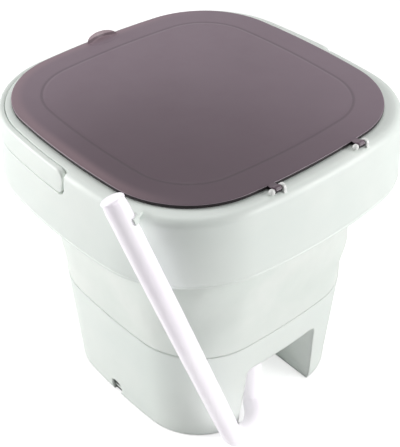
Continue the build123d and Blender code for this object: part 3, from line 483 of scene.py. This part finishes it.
def bowedRings(rings, places, shift=0.0):
    # Each ring is half width, half depth, corner radius, middle y and height. Each eighth of it is an
    # arc: centre + reach * (cos, sin) of a turn between its start and the next one's. The same place
    # on all rings has the same share of its arc, so rings join without a twist.
    halfX, halfY, corner, middleY, height = (np.asarray(rings, float)[:, i, None] for i in range(5))
    centreX, centreY = sideMeeting(halfX - corner, halfY - corner)
    turnX = np.arctan2(centreY, centreX + sideBow)
    turnY = np.arctan2(centreX, centreY + sideBow)
    zero, bow, quarter = np.zeros_like(centreX), np.full_like(centreX, sideBow), pi / 2
    starts = np.hstack([
        -turnX, turnX, quarter - turnY, quarter + turnY, 2 * quarter - turnX, 2 * quarter + turnX,
        3 * quarter - turnY, 3 * quarter + turnY, 4 * quarter - turnX,
    ])
    centresX = np.hstack([-bow, centreX, zero, -centreX, bow, -centreX, zero, centreX])
    centresY = np.hstack([zero, centreY, -bow, centreY, zero, -centreY, bow, -centreY])
    reaches = np.hstack([sideBow + halfX, corner, sideBow + halfY, corner] * 2)
    eighth = np.broadcast_to(np.floor(places).astype(int) % 8, (len(halfX), len(places)))

    def pick(table, column):
        return np.take_along_axis(table, column, 1)

    first, last = pick(starts, eighth), pick(starts, eighth + 1)
    turn = first + (last - first) * (places % 1) + shift
    x = pick(centresX, eighth) + pick(reaches, eighth) * np.cos(turn)
    y = pick(centresY, eighth) + pick(reaches, eighth) * np.sin(turn)
    z = np.broadcast_to(height, x.shape)
    return np.stack([x, y + middleY, z], -1), turn


def grown(base, grow, height):
    # A ring of the given outline, grown evenly outwards
    halfX, halfY, corner, middleY = base
    return [halfX + grow, halfY + grow, corner + grow, middleY, height]


def shrunk(base, share, height):
    # A ring of the given outline, drawn in towards its middle
    halfX, halfY, corner, middleY = base
    return [halfX * share, halfY * share, corner * share, middleY, height]


def smoothStep(value, low, high):
    # 0 below low, 1 above high and t^2 * (3 - 2t) between, where t is the share of the way
    t = np.clip((value - low) / (high - low), 0, 1)
    return t * t * (3 - 2 * t)


def unit(vector):
    # The vector, or each row of an array of them, divided by its length
    return vector / np.linalg.norm(vector, axis=-1, keepdims=True)


def degrees(first, last, count):
    # Turns in radians, evenly from the first to the last one given in degrees
    return np.radians(np.linspace(first, last, count))


def allRound(count):
    # Turns in radians, evenly all the way round
    return np.arange(count) * 2 * pi / count


# Outlines are half width, half depth, corner radius and middle y
frameShape = {
    "outline": (0.164, 0.1583, 0.093, -0.0033), "top": 0.3106, "bottom": 0.240, "lean": 3.3, "wall": 0.003,
    "innerEdge": 0.0004, "lip": 0.0012, "groove": 0.0005, "grooveRises": (0.0022, 0.0028, 0.0038, 0.0052),
    "sideRows": (0.007, 0.0012), "upperRows": (0.0018, 0.0005), "shoulder": 0.008,
    "shoulderTurns": (78, 84, 90), "rim": 0.003, "rimStart": 0.0105, "rimEdge": (0.0006, 0.00015, 0.0002),
    "bandLow": 0.282, "bandWall": 0.015, "innerLow": 0.26, "raise": 0.004, "raiseTop": 0.285,
    "recess": (0.1581, 0.1568, 0.0925, -0.0033), "recessFloor": 0.2861, "recessEnd": 0.0105,
    "recessRound": 0.009, "recessEdge": (0.0008, 0.00025, 0.0009),
    "mouth": (0.132937, 0.132937, 0.084937, 0.0),
    # At the recess's floor: the plain ring's rise, and the stepped ring's growth and rise
    "floorEdge": 0.0005, "floorRows": ((-0.0001, -0.0005, 0), (0.0003, 0.0006, 0), (0.0008, 0.0001, 0.0003)),
    # At the recess's end: where the columns lean, and where extra columns stand beside the step
    "leanReach": (0.0003, 0.026), "leanHeight": (0.014, 0.0002), "tooNear": 4e-5,
    "endBefore": (-0.026, -0.0015, 12), "endStep": (-0.0002, 0.0002), "endAfter": (0.0015, 0.02, 8),
}


def frameSkirt(shape):
    # The closed wall profile is carried round the outline and leans outwards as it goes down. Beside
    # the handle it steps inwards, so each row has a plain ring and a stepped one. The columns at the
    # step's end lean along a quarter circle at its lower corner: round - sqrt(round^2 - drop^2).
    base, recess, mouth = shape["outline"], shape["recess"], shape["mouth"]
    top, bottom, floor, wall = shape["top"], shape["bottom"], shape["recessFloor"], shape["wall"]
    lean = tan(radians(shape["lean"]))
    plain, stepped = [], []

    def out(height):
        return (top - height) * lean

    def row(first, second=None):
        plain.append(first)
        stepped.append(second or first)

    # The lower edge, the fine groove above it and the wall up to the recess
    edge, lip, groove = shape["innerEdge"], shape["lip"], shape["groove"]
    row(grown(base, out(bottom) - wall, bottom + edge))
    row(grown(base, out(bottom) - wall + edge, bottom))
    for turn in degrees(0, 90, 5):
        row(grown(base, out(bottom) - lip + lip * sin(turn), bottom + lip - lip * cos(turn)))
    for rise, inset in zip(shape["grooveRises"], (0, groove, groove, 0)):
        row(grown(base, out(bottom + rise) - inset, bottom + rise))
    for height in np.linspace(bottom + shape["sideRows"][0], floor - shape["sideRows"][1], 13):
        row(grown(base, out(height), height))
    wallRow = len(plain) - 4  # a row of the plain wall under the recess

    # The floor of the recess and the wall above it
    row(grown(base, out(floor), floor - shape["floorEdge"]))
    wallRing = grown(base, out(floor), floor)[:4]
    for (rise, grow, level), outline in zip(shape["floorRows"], (wallRing, recess, recess)):
        row(grown(base, out(floor), floor + rise), grown(outline, grow, floor + level))
    bend = shape["shoulder"]
    for height in np.linspace(floor + shape["upperRows"][0], top - bend - shape["upperRows"][1], 12):
        row(grown(base, out(height), height), grown(recess, 0, height))

    # The shoulder, beside which the recess's wall goes on up to a small edge
    start, (drop, lastDrop, inset) = out(top - bend), shape["recessEdge"]
    roundEnd, *lastTurns = shape["shoulderTurns"]
    turns = np.append(degrees(0, roundEnd, 9), np.radians(lastTurns))
    heights = np.append(np.linspace(top - bend, top - drop, 9), [top - lastDrop, top])
    insets = [0] * 9 + [lastDrop, inset]
    for turn, height, inset in zip(turns, heights, insets):
        shoulder = grown(base, start - bend + bend * cos(turn), top - bend + bend * sin(turn))
        row(shoulder, grown(recess, -inset, height))

    # The flat rim, its inner edge and the inside of the wall
    rimDrop, rimEdge, rimInset = shape["rimEdge"]
    outer, inner = np.array(grown(base, -shape["rimStart"], top)), np.array(grown(mouth, rimDrop, top))
    for share in np.linspace(0, 1, 6):
        row(list(outer + (inner - outer) * share))
    insideRow = len(plain)
    row(grown(mouth, rimEdge, top - rimEdge))
    row(grown(mouth, 0, top - rimDrop))
    rimLow, bandLow, band = top - shape["rim"], shape["bandLow"], shape["bandWall"]
    row(grown(mouth, -rimInset, rimLow))
    for height, thick in ((rimLow, band), (bandLow, band), (bandLow, wall), (shape["innerLow"], wall)):
        row(grown(base, out(height) - thick, height))
    plain, stepped = np.array(plain), np.array(stepped)

    # Extra columns where the recess ends, on both sides
    before, after = np.linspace(*shape["endBefore"]), np.linspace(*shape["endAfter"])
    offsets, half = np.concatenate([before, shape["endStep"], after]), sideTurn(base)
    turns = np.arcsin((shape["recessEnd"] + offsets - base[3]) / (sideBow + base[0]))
    ends = np.concatenate([(half + turns) / (2 * half), 4 + (half - turns) / (2 * half)])
    places = np.unique(np.concatenate([stations(*outlineFine), ends]))
    places = places[np.append(np.diff(places) > shape["tooNear"], True)]

    flat, turn = bowedRings(plain, places)
    along = flat[..., 1] - shape["recessEnd"]
    onSide = (np.floor(places) % 4 == 0)[None, :]
    sign = np.where(np.cos(turn) > 0, 1.0, -1.0)
    heights = plain[:, 4:5]
    bend = shape["recessRound"]
    drop = np.clip(floor + bend - heights, 0, bend)
    pull = bend - np.sqrt(bend**2 - drop**2)
    below = smoothStep(heights, floor - shape["leanHeight"][0], floor - shape["leanHeight"][1])
    onTop = np.arange(len(plain))[:, None] < insideRow
    near = (1 - smoothStep(np.abs(along), *shape["leanReach"])) * onSide * onTop
    shift = -pull * below * near * sign / (sideBow + plain[:, 0:1])
    outside, _ = bowedRings(plain, places, shift)
    inside, _ = bowedRings(stepped, places, shift)
    mask = (along[wallRow] < 0).astype(float)[None, :, None]
    points = outside * (1 - mask) + inside * mask

    # The lower edge rises towards the corners: raise * sin^4(2 * turn) * the share of the way down
    corner = np.sin(2 * np.arctan2(points[..., 1] - base[3], points[..., 0])) ** 4
    low = np.clip((shape["raiseTop"] - points[..., 2]) / (shape["raiseTop"] - bottom), 0, 1)
    points[..., 2] += shape["raise"] * corner * low
    return gridMesh("frameSkirt", points, 38, wrapRows=True)


dress(frameSkirt(frameShape), "frame", "housing", "upper_frame")
print("upper frame made")

handleShape = {
    "outline": (0.1646, 0.1635, 0.099, -0.0033), "thickness": 0.0055, "low": 0.287, "high": 0.310,
    "end": 0.008, "endRound": 0.0085, "endGap": 1e-3, "edge": 0.0011, "topEdge": 0.0024,
    # The pivot's profile: how far along its axis, and how far under its radius
    "pivotY": -0.002, "pivot": 0.004, "pivotSink": 0.0004,
    "pivotRows": ((0, 0), (0.006, 0), (0.0068, 0), (0.0074, 0.0006)),
}


def handleBail(shape, lean):
    # A rounded bar section is carried round the front from one end to the other. Near each end its
    # height follows a circle, so the ends are round.
    base, thick, edge = shape["outline"], shape["thickness"], shape["edge"]
    middle, half = (shape["low"] + shape["high"]) / 2, (shape["high"] - shape["low"]) / 2
    span, end, endRound = sideTurn(base), shape["end"], shape["endRound"]
    ends = end - endRound * (1 - np.cos(np.linspace(pi / 2, 0, 14)))
    turns = np.arcsin((ends - base[3]) / (sideBow + base[0]))
    rightEnd = (span + turns) / (2 * span)
    leftEnd = 4 + (span - turns) / (2 * span)
    whole = stations(*outlineFine)
    left = whole[whole > leftEnd.max() + shape["endGap"]]
    right = whole[whole < rightEnd.min() - shape["endGap"]] + 8
    places = np.concatenate([np.sort(leftEnd), left, right, np.sort(rightEnd) + 8])

    # Section points: how far inwards from the outer face, and the height from the middle
    section = []
    corners = ((0, -half, edge), (0, half, shape["topEdge"]), (thick, half, edge), (thick, -half, edge))
    for inward, level, bend in corners:
        sideways = 1 if inward == 0 else -1
        upwards = -1 if level > 0 else 1
        for turn in degrees(0, 90, 6):
            across, rise = 1 - sin(turn), 1 - cos(turn)
            if (inward == 0) == (level > 0):
                across, rise = rise, across
            section.append((inward + sideways * bend * across, level + upwards * bend * rise))
    rings = [grown(base, -inward - lean * height, middle + height) for inward, height in section]
    points, _ = bowedRings(rings, places)

    # At the ends the half height is cut by endRound - sqrt(endRound^2 - (endRound - fromEnd)^2)
    fromEnd = np.clip(end - points[..., 1], 0, endRound)
    cut = endRound - np.sqrt(np.clip(endRound**2 - (endRound - fromEnd) ** 2, 0, None))
    points[..., 2] = middle + (points[..., 2] - middle) * (half - cut) / half
    return gridMesh("handleBail", points.transpose(1, 0, 2), 40, poles=True)


def pivotPin(name, shape, centre, axis):
    # The pivot's profile of (along, inset) rows revolved about the axis. Any vector that isn't along
    # the axis serves to find the two sides.
    side = unit(np.cross(axis, [0.3, 0.5, 0.81]))
    turn = allRound(40)[:, None]
    ring = np.cos(turn) * side + np.sin(turn) * np.cross(axis, side)
    along, inset = (np.array(column, float)[:, None, None] for column in zip(*shape["pivotRows"]))
    grid = np.asarray(centre) + along * np.asarray(axis, float) + (shape["pivot"] - inset) * ring
    return gridMesh(name, grid, 32, poles=True)


dress(handleBail(handleShape, tan(radians(frameShape["lean"]))), "handle", "housing", "carry_handle")
pivotStart = handleShape["outline"][0] - handleShape["thickness"] + handleShape["pivotSink"]
pivotHeight = (handleShape["low"] + handleShape["high"]) / 2
for side, pivotName in ((1, "handlePivotRight"), (-1, "handlePivotLeft")):
    pivotCentre = (side * pivotStart, handleShape["pivotY"], pivotHeight)
    dress(pivotPin(pivotName, handleShape, pivotCentre, (-side, 0, 0)), "handle", "housing")
print("handle made")

lidShape = {
    "outline": (0.150, 0.1485, 0.086, -0.0085), "low": 0.3110, "high": 0.3146, "edge": 0.0011,
    # The under side: its hollow inside a foot, and the foot's outer round
    "hollow": 0.0004, "middle": -0.05, "hollowGrow": (-0.02, -0.0022), "footGrow": (-0.0018, -0.0008),
    "lowEdge": 0.0006, "flangeGrow": (-0.003, -0.012, -0.024),
    "panelInset": 0.0285, "panelRise": 0.0002, "panelStep": 0.0065, "groove": 0.0005, "panelEdge": 0.004,
    "tabCentre": (0.0015, -0.1505), "tabHalf": (0.018, 0.0083), "tabLow": 0.3124, "tabHigh": 0.31475,
    "tabEdge": 0.0009, "tabLift": 0.0056, "tabPower": 0.8, "tabRise": (0.45, 0.95),
    "hingePlaces": (-0.052, 0.048), "hingeY": 0.146, "hingeHeight": 0.3132,
    # The knuckle's radius is smaller on the side that turns down to the rim when the lid opens
    "knuckle": 0.0034, "knuckleLow": 0.0025, "knuckleHalf": 0.0035, "knuckleTurn": (0.85, 1.45),
    "knuckleEnds": (-115, 125), "knuckleFloor": 0.31075, "knuckleEdge": 0.0005,
    "arm": ((0.1415, 0.3149), (0.1375, 0.3145), (0.134, 0.3142), (0.134, 0.3114), (0.139, 0.3112)),
}


def lidPlate(shape):
    # A closed plate: under side, rounded edge, flat flange, a soft step up to the middle, and a pole.
    # The step's height is panelRise * a smooth step - groove / 2 * sin^2(pi * share of the way).
    base, low, high = shape["outline"], shape["low"], shape["high"]
    lowEdge, edge = shape["lowEdge"], shape["edge"]
    inner, hollow = grown(base, shape["middle"], 0)[:4], low + shape["hollow"]
    rings = [shrunk(inner, share, hollow) for share in (0.02, 0.35, 0.7, 1.0)]
    rings += [grown(base, grow, hollow) for grow in shape["hollowGrow"]]
    rings += [grown(base, grow, low) for grow in shape["footGrow"]]
    for turn in degrees(0, 90, 5):
        rings.append(grown(base, lowEdge * (sin(turn) - 1), low + lowEdge * (1 - cos(turn))))
    for turn in degrees(0, 90, 7):
        rings.append(grown(base, edge * (cos(turn) - 1), high + edge * (sin(turn) - 1)))
    rings += [grown(base, grow, high) for grow in shape["flangeGrow"]]
    step, top = -shape["panelInset"], high + shape["panelRise"]
    for share in np.linspace(0, 1, 9):
        level = shape["panelRise"] * smoothStep(share, 0, 1) - shape["groove"] * sin(pi * share) ** 2 / 2
        rings.append(grown(base, step + shape["panelStep"] * (0.5 - share), high + level))
    rings += [grown(base, grow, top) for grow in (step - shape["panelEdge"], shape["middle"])]
    rings += [shrunk(inner, share, top) for share in (0.8, 0.6, 0.4, 0.2, 0.02)]
    points, _ = bowedRings(rings, stations(*outlineFine))
    return gridMesh("lidPlate", points, 40, poles=True)


def scoopedTab(shape):
    # An oval plate with a rounded edge. Its outer half rises to a lip, so that a finger tip fits in:
    # lift = tabLift * (-sin of the turn)^tabPower * a smooth step from the middle to the edge.
    low, high, edge = shape["tabLow"], shape["tabHigh"], shape["tabEdge"]
    rings = [(share, 0, low) for share in (0.02, 0.4, 0.75)]
    for turn in degrees(-90, 90, 13):
        middle = low + edge if turn < 0 else high - edge
        rings.append((1, edge * (cos(turn) - 1), middle + edge * sin(turn)))
    rings += [(share, 0, high) for share in (0.9, 0.84, 0.78, 0.72, 0.66, 0.6, 0.5, 0.4, 0.2, 0.02)]
    share, inset, height = (np.array(column)[:, None] for column in zip(*rings))
    turn = allRound(96)
    x = shape["tabCentre"][0] + (shape["tabHalf"][0] * share + inset) * np.cos(turn)
    y = shape["tabCentre"][1] + (shape["tabHalf"][1] * share + inset) * np.sin(turn)
    outward = np.clip(-np.sin(turn), 0, 1) ** shape["tabPower"]
    lift = shape["tabLift"] * outward * smoothStep(share, *shape["tabRise"])
    return gridMesh("lidTab", np.stack([x, y, height + lift], -1), 40, poles=True)


def sideBlock(name, outline, low, high, edge):
    # A closed outline in y and z carried along x, with rounded edges at both ends
    inward = unit(outline - outline.mean(0))
    rows = [(low + edge * (1 - sin(turn)), edge * (1 - cos(turn))) for turn in degrees(90, 0, 5)]
    rows += [(low + high - x, inset) for x, inset in rows[::-1]]
    grid = [np.column_stack([np.full(len(outline), x), outline - inward * inset]) for x, inset in rows]
    return gridMesh(name, np.array(grid), 44, poles=True)


def hingeArc(radius, turn):
    # Points in y and z round the hinge's axis
    middle = (lidShape["hingeY"], lidShape["hingeHeight"])
    return np.column_stack([middle[0] + radius * np.cos(turn), middle[1] + radius * np.sin(turn)])


dress(lidPlate(lidShape), "lid", "lid", "lid")
dress(scoopedTab(lidShape), "lid", "lid")
knuckleTurns = degrees(*lidShape["knuckleEnds"], 25)
knuckleShare = smoothStep(knuckleTurns, *lidShape["knuckleTurn"])
knuckleGrow = (lidShape["knuckle"] - lidShape["knuckleLow"]) * knuckleShare
knuckleRound = hingeArc(lidShape["knuckleLow"] + knuckleGrow, knuckleTurns)
knuckleRound[:, 1] = np.maximum(knuckleRound[:, 1], lidShape["knuckleFloor"])
armOutline = np.vstack([knuckleRound, lidShape["arm"]])
for place, armName in zip(lidShape["hingePlaces"], ("lidArmLeft", "lidArmRight")):
    half = lidShape["knuckleHalf"]
    dress(sideBlock(armName, armOutline, place - half, place + half, lidShape["knuckleEdge"]), "lid", "lid")

# The ear's foot is given by y from the hinge's axis and the height
earShape = {
    "radius": 0.0039, "thickness": 0.0032, "gap": 0.0004, "edge": 0.0006,
    "foot": ((-0.0039, 0.3112), (-0.0047, 0.3098), (0.0047, 0.3098), (0.0039, 0.3112)),
}
earFoot = np.array(earShape["foot"]) + [lidShape["hingeY"], 0]
earOutline = np.vstack([hingeArc(earShape["radius"], degrees(0, 180, 21)), earFoot])
for place, earName in zip(lidShape["hingePlaces"], ("hingeEarLeft", "hingeEarRight")):
    inside = place - lidShape["knuckleHalf"] - earShape["gap"]
    ear = sideBlock(earName, earOutline, inside - earShape["thickness"], inside, earShape["edge"])
    dress(ear, "frame", "lid_hinge")
print("lid and hinges made")

bellowsShape = {
    "low": 0.118, "high": 0.241, "halfLow": 0.1219, "halfHigh": 0.1315,
    "cornerLow": 0.0745, "cornerHigh": 0.0841, "wall": 0.0025, "rows": 64, "columns": (26, 40),
    "folds": 3, "fold": 0.0005,
    "lobe": 0.0018, "lobeWaves": 1.5, "lobeTwist": 2.2, "lobeTurn": 0.7,
    "swell": 0.0005, "swellSide": (0.55, 0.95), "swellHeight": 0.12,
}


def bellowsSkin(shape):
    # A double wall between two rings, grown outwards by three parts, where share is the share of its
    # height: ripple = fold * cos(2 pi * folds * share), lobes at the corners that wander up and down
    # with the turn, and at the foot of the +Y side swell * exp(-(share / swellHeight)^2).
    steps = np.linspace(0, 1, shape["rows"])
    wall = shape["wall"]
    halves = shape["halfLow"] + (shape["halfHigh"] - shape["halfLow"]) * steps
    corners = shape["cornerLow"] + (shape["cornerHigh"] - shape["cornerLow"]) * steps
    heights = shape["low"] + (shape["high"] - shape["low"]) * steps
    outer = np.column_stack([halves, halves, corners, 0 * steps, heights])
    inner = np.column_stack([halves - wall, halves - wall, corners - wall, 0 * steps, heights])[::-1]
    points, turn = bowedRings(np.vstack([outer, inner]), stations(*shape["columns"]))
    share = np.concatenate([steps, steps[::-1]])[:, None]
    ripple = shape["fold"] * np.cos(2 * pi * shape["folds"] * share) * np.sin(pi * share) ** 0.5
    wander = 2 * pi * share * shape["lobeWaves"] + shape["lobeTwist"] * np.sin(2 * turn + shape["lobeTurn"])
    lobes = shape["lobe"] * np.sin(2 * turn) ** 2 * np.sin(pi * share) * np.sin(wander)
    swell = smoothStep(np.sin(turn), *shape["swellSide"]) * np.exp(-((share / shape["swellHeight"]) ** 2))
    outwards = ripple + lobes + shape["swell"] * swell
    points[..., 0] += outwards * np.cos(turn)
    points[..., 1] += outwards * np.sin(turn)
    return gridMesh("bellowsSkin", points, 50, wrapRows=True)


bellows = dress(bellowsSkin(bellowsShape), "base", "bellows", "bellows")
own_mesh(bellows)
print("bellows made")

hoseShape = {
    "route": [
        (0.015, 0.092, 0.079), (0.015, 0.092, 0.0104), (0.040, 0.1285, 0.0104), (0.072, 0.1302, 0.0104),
        (0.0832, 0.1314, 0.0404), (0.1209, 0.1355, 0.1416), (0.1576, 0.1395, 0.240), (0.1732, 0.093, 0.333),
    ],
    "length": 0.479, "radius": 0.010, "bore": 0.0075, "edge": 0.0007, "fine": 24, "around": 48,
    "boreEnds": (4, 3),  # how many points of the line the bore goes in, at the start and at the end
    "aside": (-0.6, 0.8, 0.0),  # a direction that the hose never takes
}


def splinePoints(route, fine):
    # The points of one smooth open spline with the route as its control points
    data = bpy.data.curves.new("route", "CURVE")
    data.dimensions = "3D"
    spline = data.splines.new("NURBS")
    spline.points.add(len(route) - 1)
    for point, place in zip(spline.points, route):
        point.co = (*place, 1)
    spline.order_u, spline.use_endpoint_u, spline.resolution_u = 3, True, fine
    guide = bpy.data.objects.new("route", data)
    mesh = bpy.data.meshes.new_from_object(guide)
    line = np.empty(len(mesh.vertices) * 3)
    mesh.vertices.foreach_get("co", line)
    bpy.data.meshes.remove(mesh)
    bpy.data.objects.remove(guide)
    return line.reshape(-1, 3)


def hoseTube(shape, line):
    # A circle carried along the line, with a blind bore at each end
    along = unit(np.gradient(line, axis=0))
    side = unit(np.cross(along, shape["aside"]))
    other = np.cross(side, along)
    radius, bore, last = shape["radius"], shape["bore"], len(line) - 1
    mouth, (firstIn, lastIn) = radius - shape["edge"], shape["boreEnds"]
    stops = [(firstIn, bore), (0, bore), (0, mouth)]
    stops += [(k, radius) for k in range(1, last)]
    stops += [(last, mouth), (last, bore), (last - lastIn, bore)]
    index = np.array([k for k, _ in stops])
    reach = np.array([r for _, r in stops])[:, None, None]
    turn = allRound(shape["around"])[None, :, None]
    ring = np.cos(turn) * side[index][:, None] + np.sin(turn) * other[index][:, None]
    return gridMesh("hoseTube", line[index][:, None] + reach * ring, 40, poles=True)


hoseLine = splinePoints(hoseShape["route"], hoseShape["fine"])
hose = dress(hoseTube(hoseShape, hoseLine), None, "hose", "drain_hose")
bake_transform(hose)
print("hose made,", len(hoseLine), "points")

clipShape = {
    "level": 0.315, "towards": (0.068, 0.059), "upperPart": 0.2, "inner": 0.0103, "band": 0.0019,
    "height": 0.006, "half": 98, "edge": 0.0006, "bandSteps": 49,
    "armStart": 0.0008, "armEnd": 0.0245, "armHalf": 0.0042, "armLow": 0.3105, "armHigh": 0.3134,
    "tipTurns": (0.15, 1.5), "tipLeast": 0.01,
}


def roundedSection(halfWide, halfTall, edge):
    # The outline of a rectangle with rounded corners, anticlockwise
    parts = []
    for x, y, start in ((1, 1, 0), (-1, 1, 90), (-1, -1, 180), (1, -1, 270)):
        turn = degrees(0, 90, 4) + radians(start)
        wide, tall = x * (halfWide - edge), y * (halfTall - edge)
        parts.append(np.column_stack([wide + edge * np.cos(turn), tall + edge * np.sin(turn)]))
    return np.vstack(parts)


def clipPieces(shape, line):
    # A band bent round the back of the hose, and an arm that lies on the rim. The arm's half width is
    # armHalf * sqrt(1 - (how far into its round end / armHalf)^2).
    upper = line[line[:, 2] > shape["upperPart"]]
    middle = np.array([np.interp(shape["level"], upper[:, 2], upper[:, i]) for i in range(3)])
    nearest = int(np.argmin(np.abs(upper[:, 2] - shape["level"])))
    along = unit(upper[nearest + 1] - upper[nearest - 1])
    flat = unit(np.array([*shape["towards"], middle[2]]) - middle)
    back = unit(flat - along * (flat @ along))
    side = np.cross(along, back)
    section = roundedSection(shape["band"] / 2, shape["height"] / 2, shape["edge"])
    turn = degrees(-shape["half"], shape["half"], shape["bandSteps"])[:, None, None]
    reach = (shape["inner"] + shape["band"] / 2 + section[:, 0])[None, :, None]
    ring = middle + reach * (np.cos(turn) * back + np.sin(turn) * side)
    band = gridMesh("clipBand", ring + section[:, 1][None, :, None] * along, 40, poles=True)

    start, half = shape["inner"] + shape["armStart"], shape["armHalf"]
    tip = shape["armEnd"] - half
    tipPlaces = tip + half * np.sin(np.linspace(*shape["tipTurns"], 12))
    places = np.concatenate([np.linspace(start, tip, 6), tipPlaces])
    intoTip = np.clip(places - tip, 0, None)
    widths = np.sqrt(np.clip(1 - (intoTip / half) ** 2, shape["tipLeast"], None)) * half
    tall = (shape["armHigh"] - shape["armLow"]) / 2
    foot = np.array([middle[0], middle[1], shape["armLow"] + tall])
    outline = roundedSection(1.0, tall, shape["edge"])
    wide = np.clip(outline[:, 0] / (1 - shape["edge"]), -1, 1)
    places, widths = places[:, None, None], widths[:, None, None]
    across = wide[:, None] * widths * np.cross([0, 0, 1], flat)
    arm = foot + places * flat + across + outline[:, 1:2] * [0, 0, 1]
    return band, gridMesh("clipArm", arm, 40, poles=True)


clipBand, clipArm = clipPieces(clipShape, hoseLine)
dress(clipBand, "frame", slotOf["hose_clip"], "hose_clip")
dress(clipArm, "frame", slotOf["hose_clip"])
print("hose clip made")

socketShape = {
    "bore": 0.0036, "half": 0.0075, "low": 0.0008, "high": 0.0162, "depth": 0.0028, "edge": 0.0004,
    "around": 72, "tiny": 1e-9,
}


def socketPlate(shape, low, high):
    # A flat ring in front of the inlet. Its inner edge is a circle about the bore. Its outer edge is
    # where a ray from the bore meets a box with a round top: the box's side or foot, and above the
    # height c of the round's middle c * sin + sqrt(half^2 - c^2 * cos^2).
    face, middleY, middleZ = high[0], (low[1] + high[1]) / 2, (low[2] + high[2]) / 2
    turn = allRound(shape["around"])
    half, tall = shape["half"], np.sin(turn)
    c = shape["high"] - half - middleZ
    side = half / (np.abs(np.cos(turn)) + shape["tiny"])
    top = c * tall + np.sqrt(np.clip(half**2 - (c * np.cos(turn)) ** 2, 0, None))
    foot = (middleZ - shape["low"]) / np.clip(-tall, shape["tiny"], None)
    outer = np.where(side * tall > c, top, np.minimum(side, foot))
    bore, edge, depth = shape["bore"], shape["edge"], shape["depth"]
    rows = [(outer, 0), (outer, depth - edge), (outer - edge, depth)]
    rows += [(bore + edge, depth), (bore, depth - edge), (bore, 0)]
    grid = []
    for reach, along in rows:
        y, z = middleY + reach * np.cos(turn), middleZ + reach * tall
        grid.append(np.column_stack([np.full(len(turn), face + along), y, z]))
    return gridMesh("socketPlate", np.array(grid), 40, wrapRows=True)


dress(socketPlate(socketShape, *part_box("power_inlet")), "base", slotOf["power_inlet"])
print("inlet ring made")

copiedNodes = {
    "base_housing": "baseShell", "tub_floor": "tubBasin", "tub_collar": "tubThroat", "pulsator": "washPlate",
    "pulsator_cap": "washCap", "hose_stopper": "hosePlug", "hinge_pin_left": "pinLeft",
    "hinge_pin_right": "pinRight", "panel_cover": "panelSkin", "button_power": "buttonLeft",
    "button_mode": "buttonMiddle", "button_start": "buttonRight", "lid_seal": "lidLip",
}


def smoothCopy(node, name):
    # The node's own shape with its loose triangles merged and its round faces shaded evenly
    mesh = welded(frame["nodes"][node].data.copy(), 1e-6)
    if "custom_normal" in mesh.attributes:
        mesh.attributes.remove(mesh.attributes["custom_normal"])
    return dress(smoothObject(name, mesh, 28), bodyOf[node], slotOf[node], node)


copies = {name: smoothCopy(node, name) for node, name in copiedNodes.items()}
copies["baseShell"].data.materials[0] = finishes["base"]
for node, kept in frame["nodes"].items():
    kept.data.materials.clear()
    kept.data.materials.append(finishes[slotOf[node]])
print("nodes dressed")

roomLook = {"card": (0.80, 0.84), "cardRough": 0.9, "cloud": 3.0, "glow": 0.55, "sky": 0.18}
floorMesh = bpy.data.meshes.new("floor")
floorMesh.from_pydata([(-6, -6, 0), (6, -6, 0), (6, 6, 0), (-6, 6, 0)], [], [(0, 1, 2, 3)])
floor = addObject("floor", floorMesh)
floorMaterial, desk = startMaterial("floor")
paper = desk.noise(desk.place(), roomLook["cloud"])
cardColour = desk.tint(paper, *(grey(level) for level in roomLook["card"]))
card = desk.node("BsdfPrincipled", None, {"Base Color": cardColour, "Roughness": roomLook["cardRough"]})
glow = desk.node("Emission", None, {"Color": grey(1), "Strength": roomLook["glow"]})
glowing = desk.node("AddShader", None, {0: card, 1: glow})
seen = desk.node("LightPath", out="Is Camera Ray")
desk.node("OutputMaterial", None, {"Surface": desk.node("MixShader", None, {0: seen, 1: card, 2: glowing})})
floorMesh.materials.append(floorMaterial)

# The world is white where it is seen, straight or in a gloss, and lights the object with a dim sky
world = bpy.data.worlds.new("world")
bpy.context.scene.world = world
world.use_nodes = True
sky = emptyTree(world.node_tree)
bare, shiny, clear = (
    sky.node("LightPath", out=ray) for ray in ("Is Camera Ray", "Is Glossy Ray", "Is Transmission Ray")
)
shown = sky.math("MAXIMUM", bare, sky.math("MAXIMUM", shiny, clear))
dim = sky.node("Background", None, {"Color": grey(1), "Strength": roomLook["sky"]})
bright = sky.node("Background", None, {"Color": grey(1), "Strength": 1.0})
sky.node("OutputWorld", None, {"Surface": sky.node("MixShader", None, {0: shown, 1: dim, 2: bright})})

# Each lamp's place, target, size and energy
lamps = {
    "lampLeft": ((1.22, -1.24, 0.75), (0, 0, 0.15), (0.7, 1.2), 27.0),
    "lampRight": ((-1.0, 1.5, 0.75), (0, 0, 0.15), (0.9, 1.2), 24.0),
    "lampTop": ((-0.4, -0.4, 1.8), (0, 0, 0.2), (1.2, 1.2), 7.5),
    "lampLow": ((0.36, 0.42, 0.05), (0.06, 0.07, 0.09), (0.5, 0.08), 0.1),
}
for name, (place, target, size, energy) in lamps.items():
    lamp = bpy.data.lights.new(name, "AREA")
    lamp.shape = "RECTANGLE"
    lamp.size, lamp.size_y = size
    lamp.energy = energy
    lampObject = addObject(name, lamp)
    lampObject.location = place
    lampObject.rotation_euler = lookingAt(place, target)
print("room and lamps made")
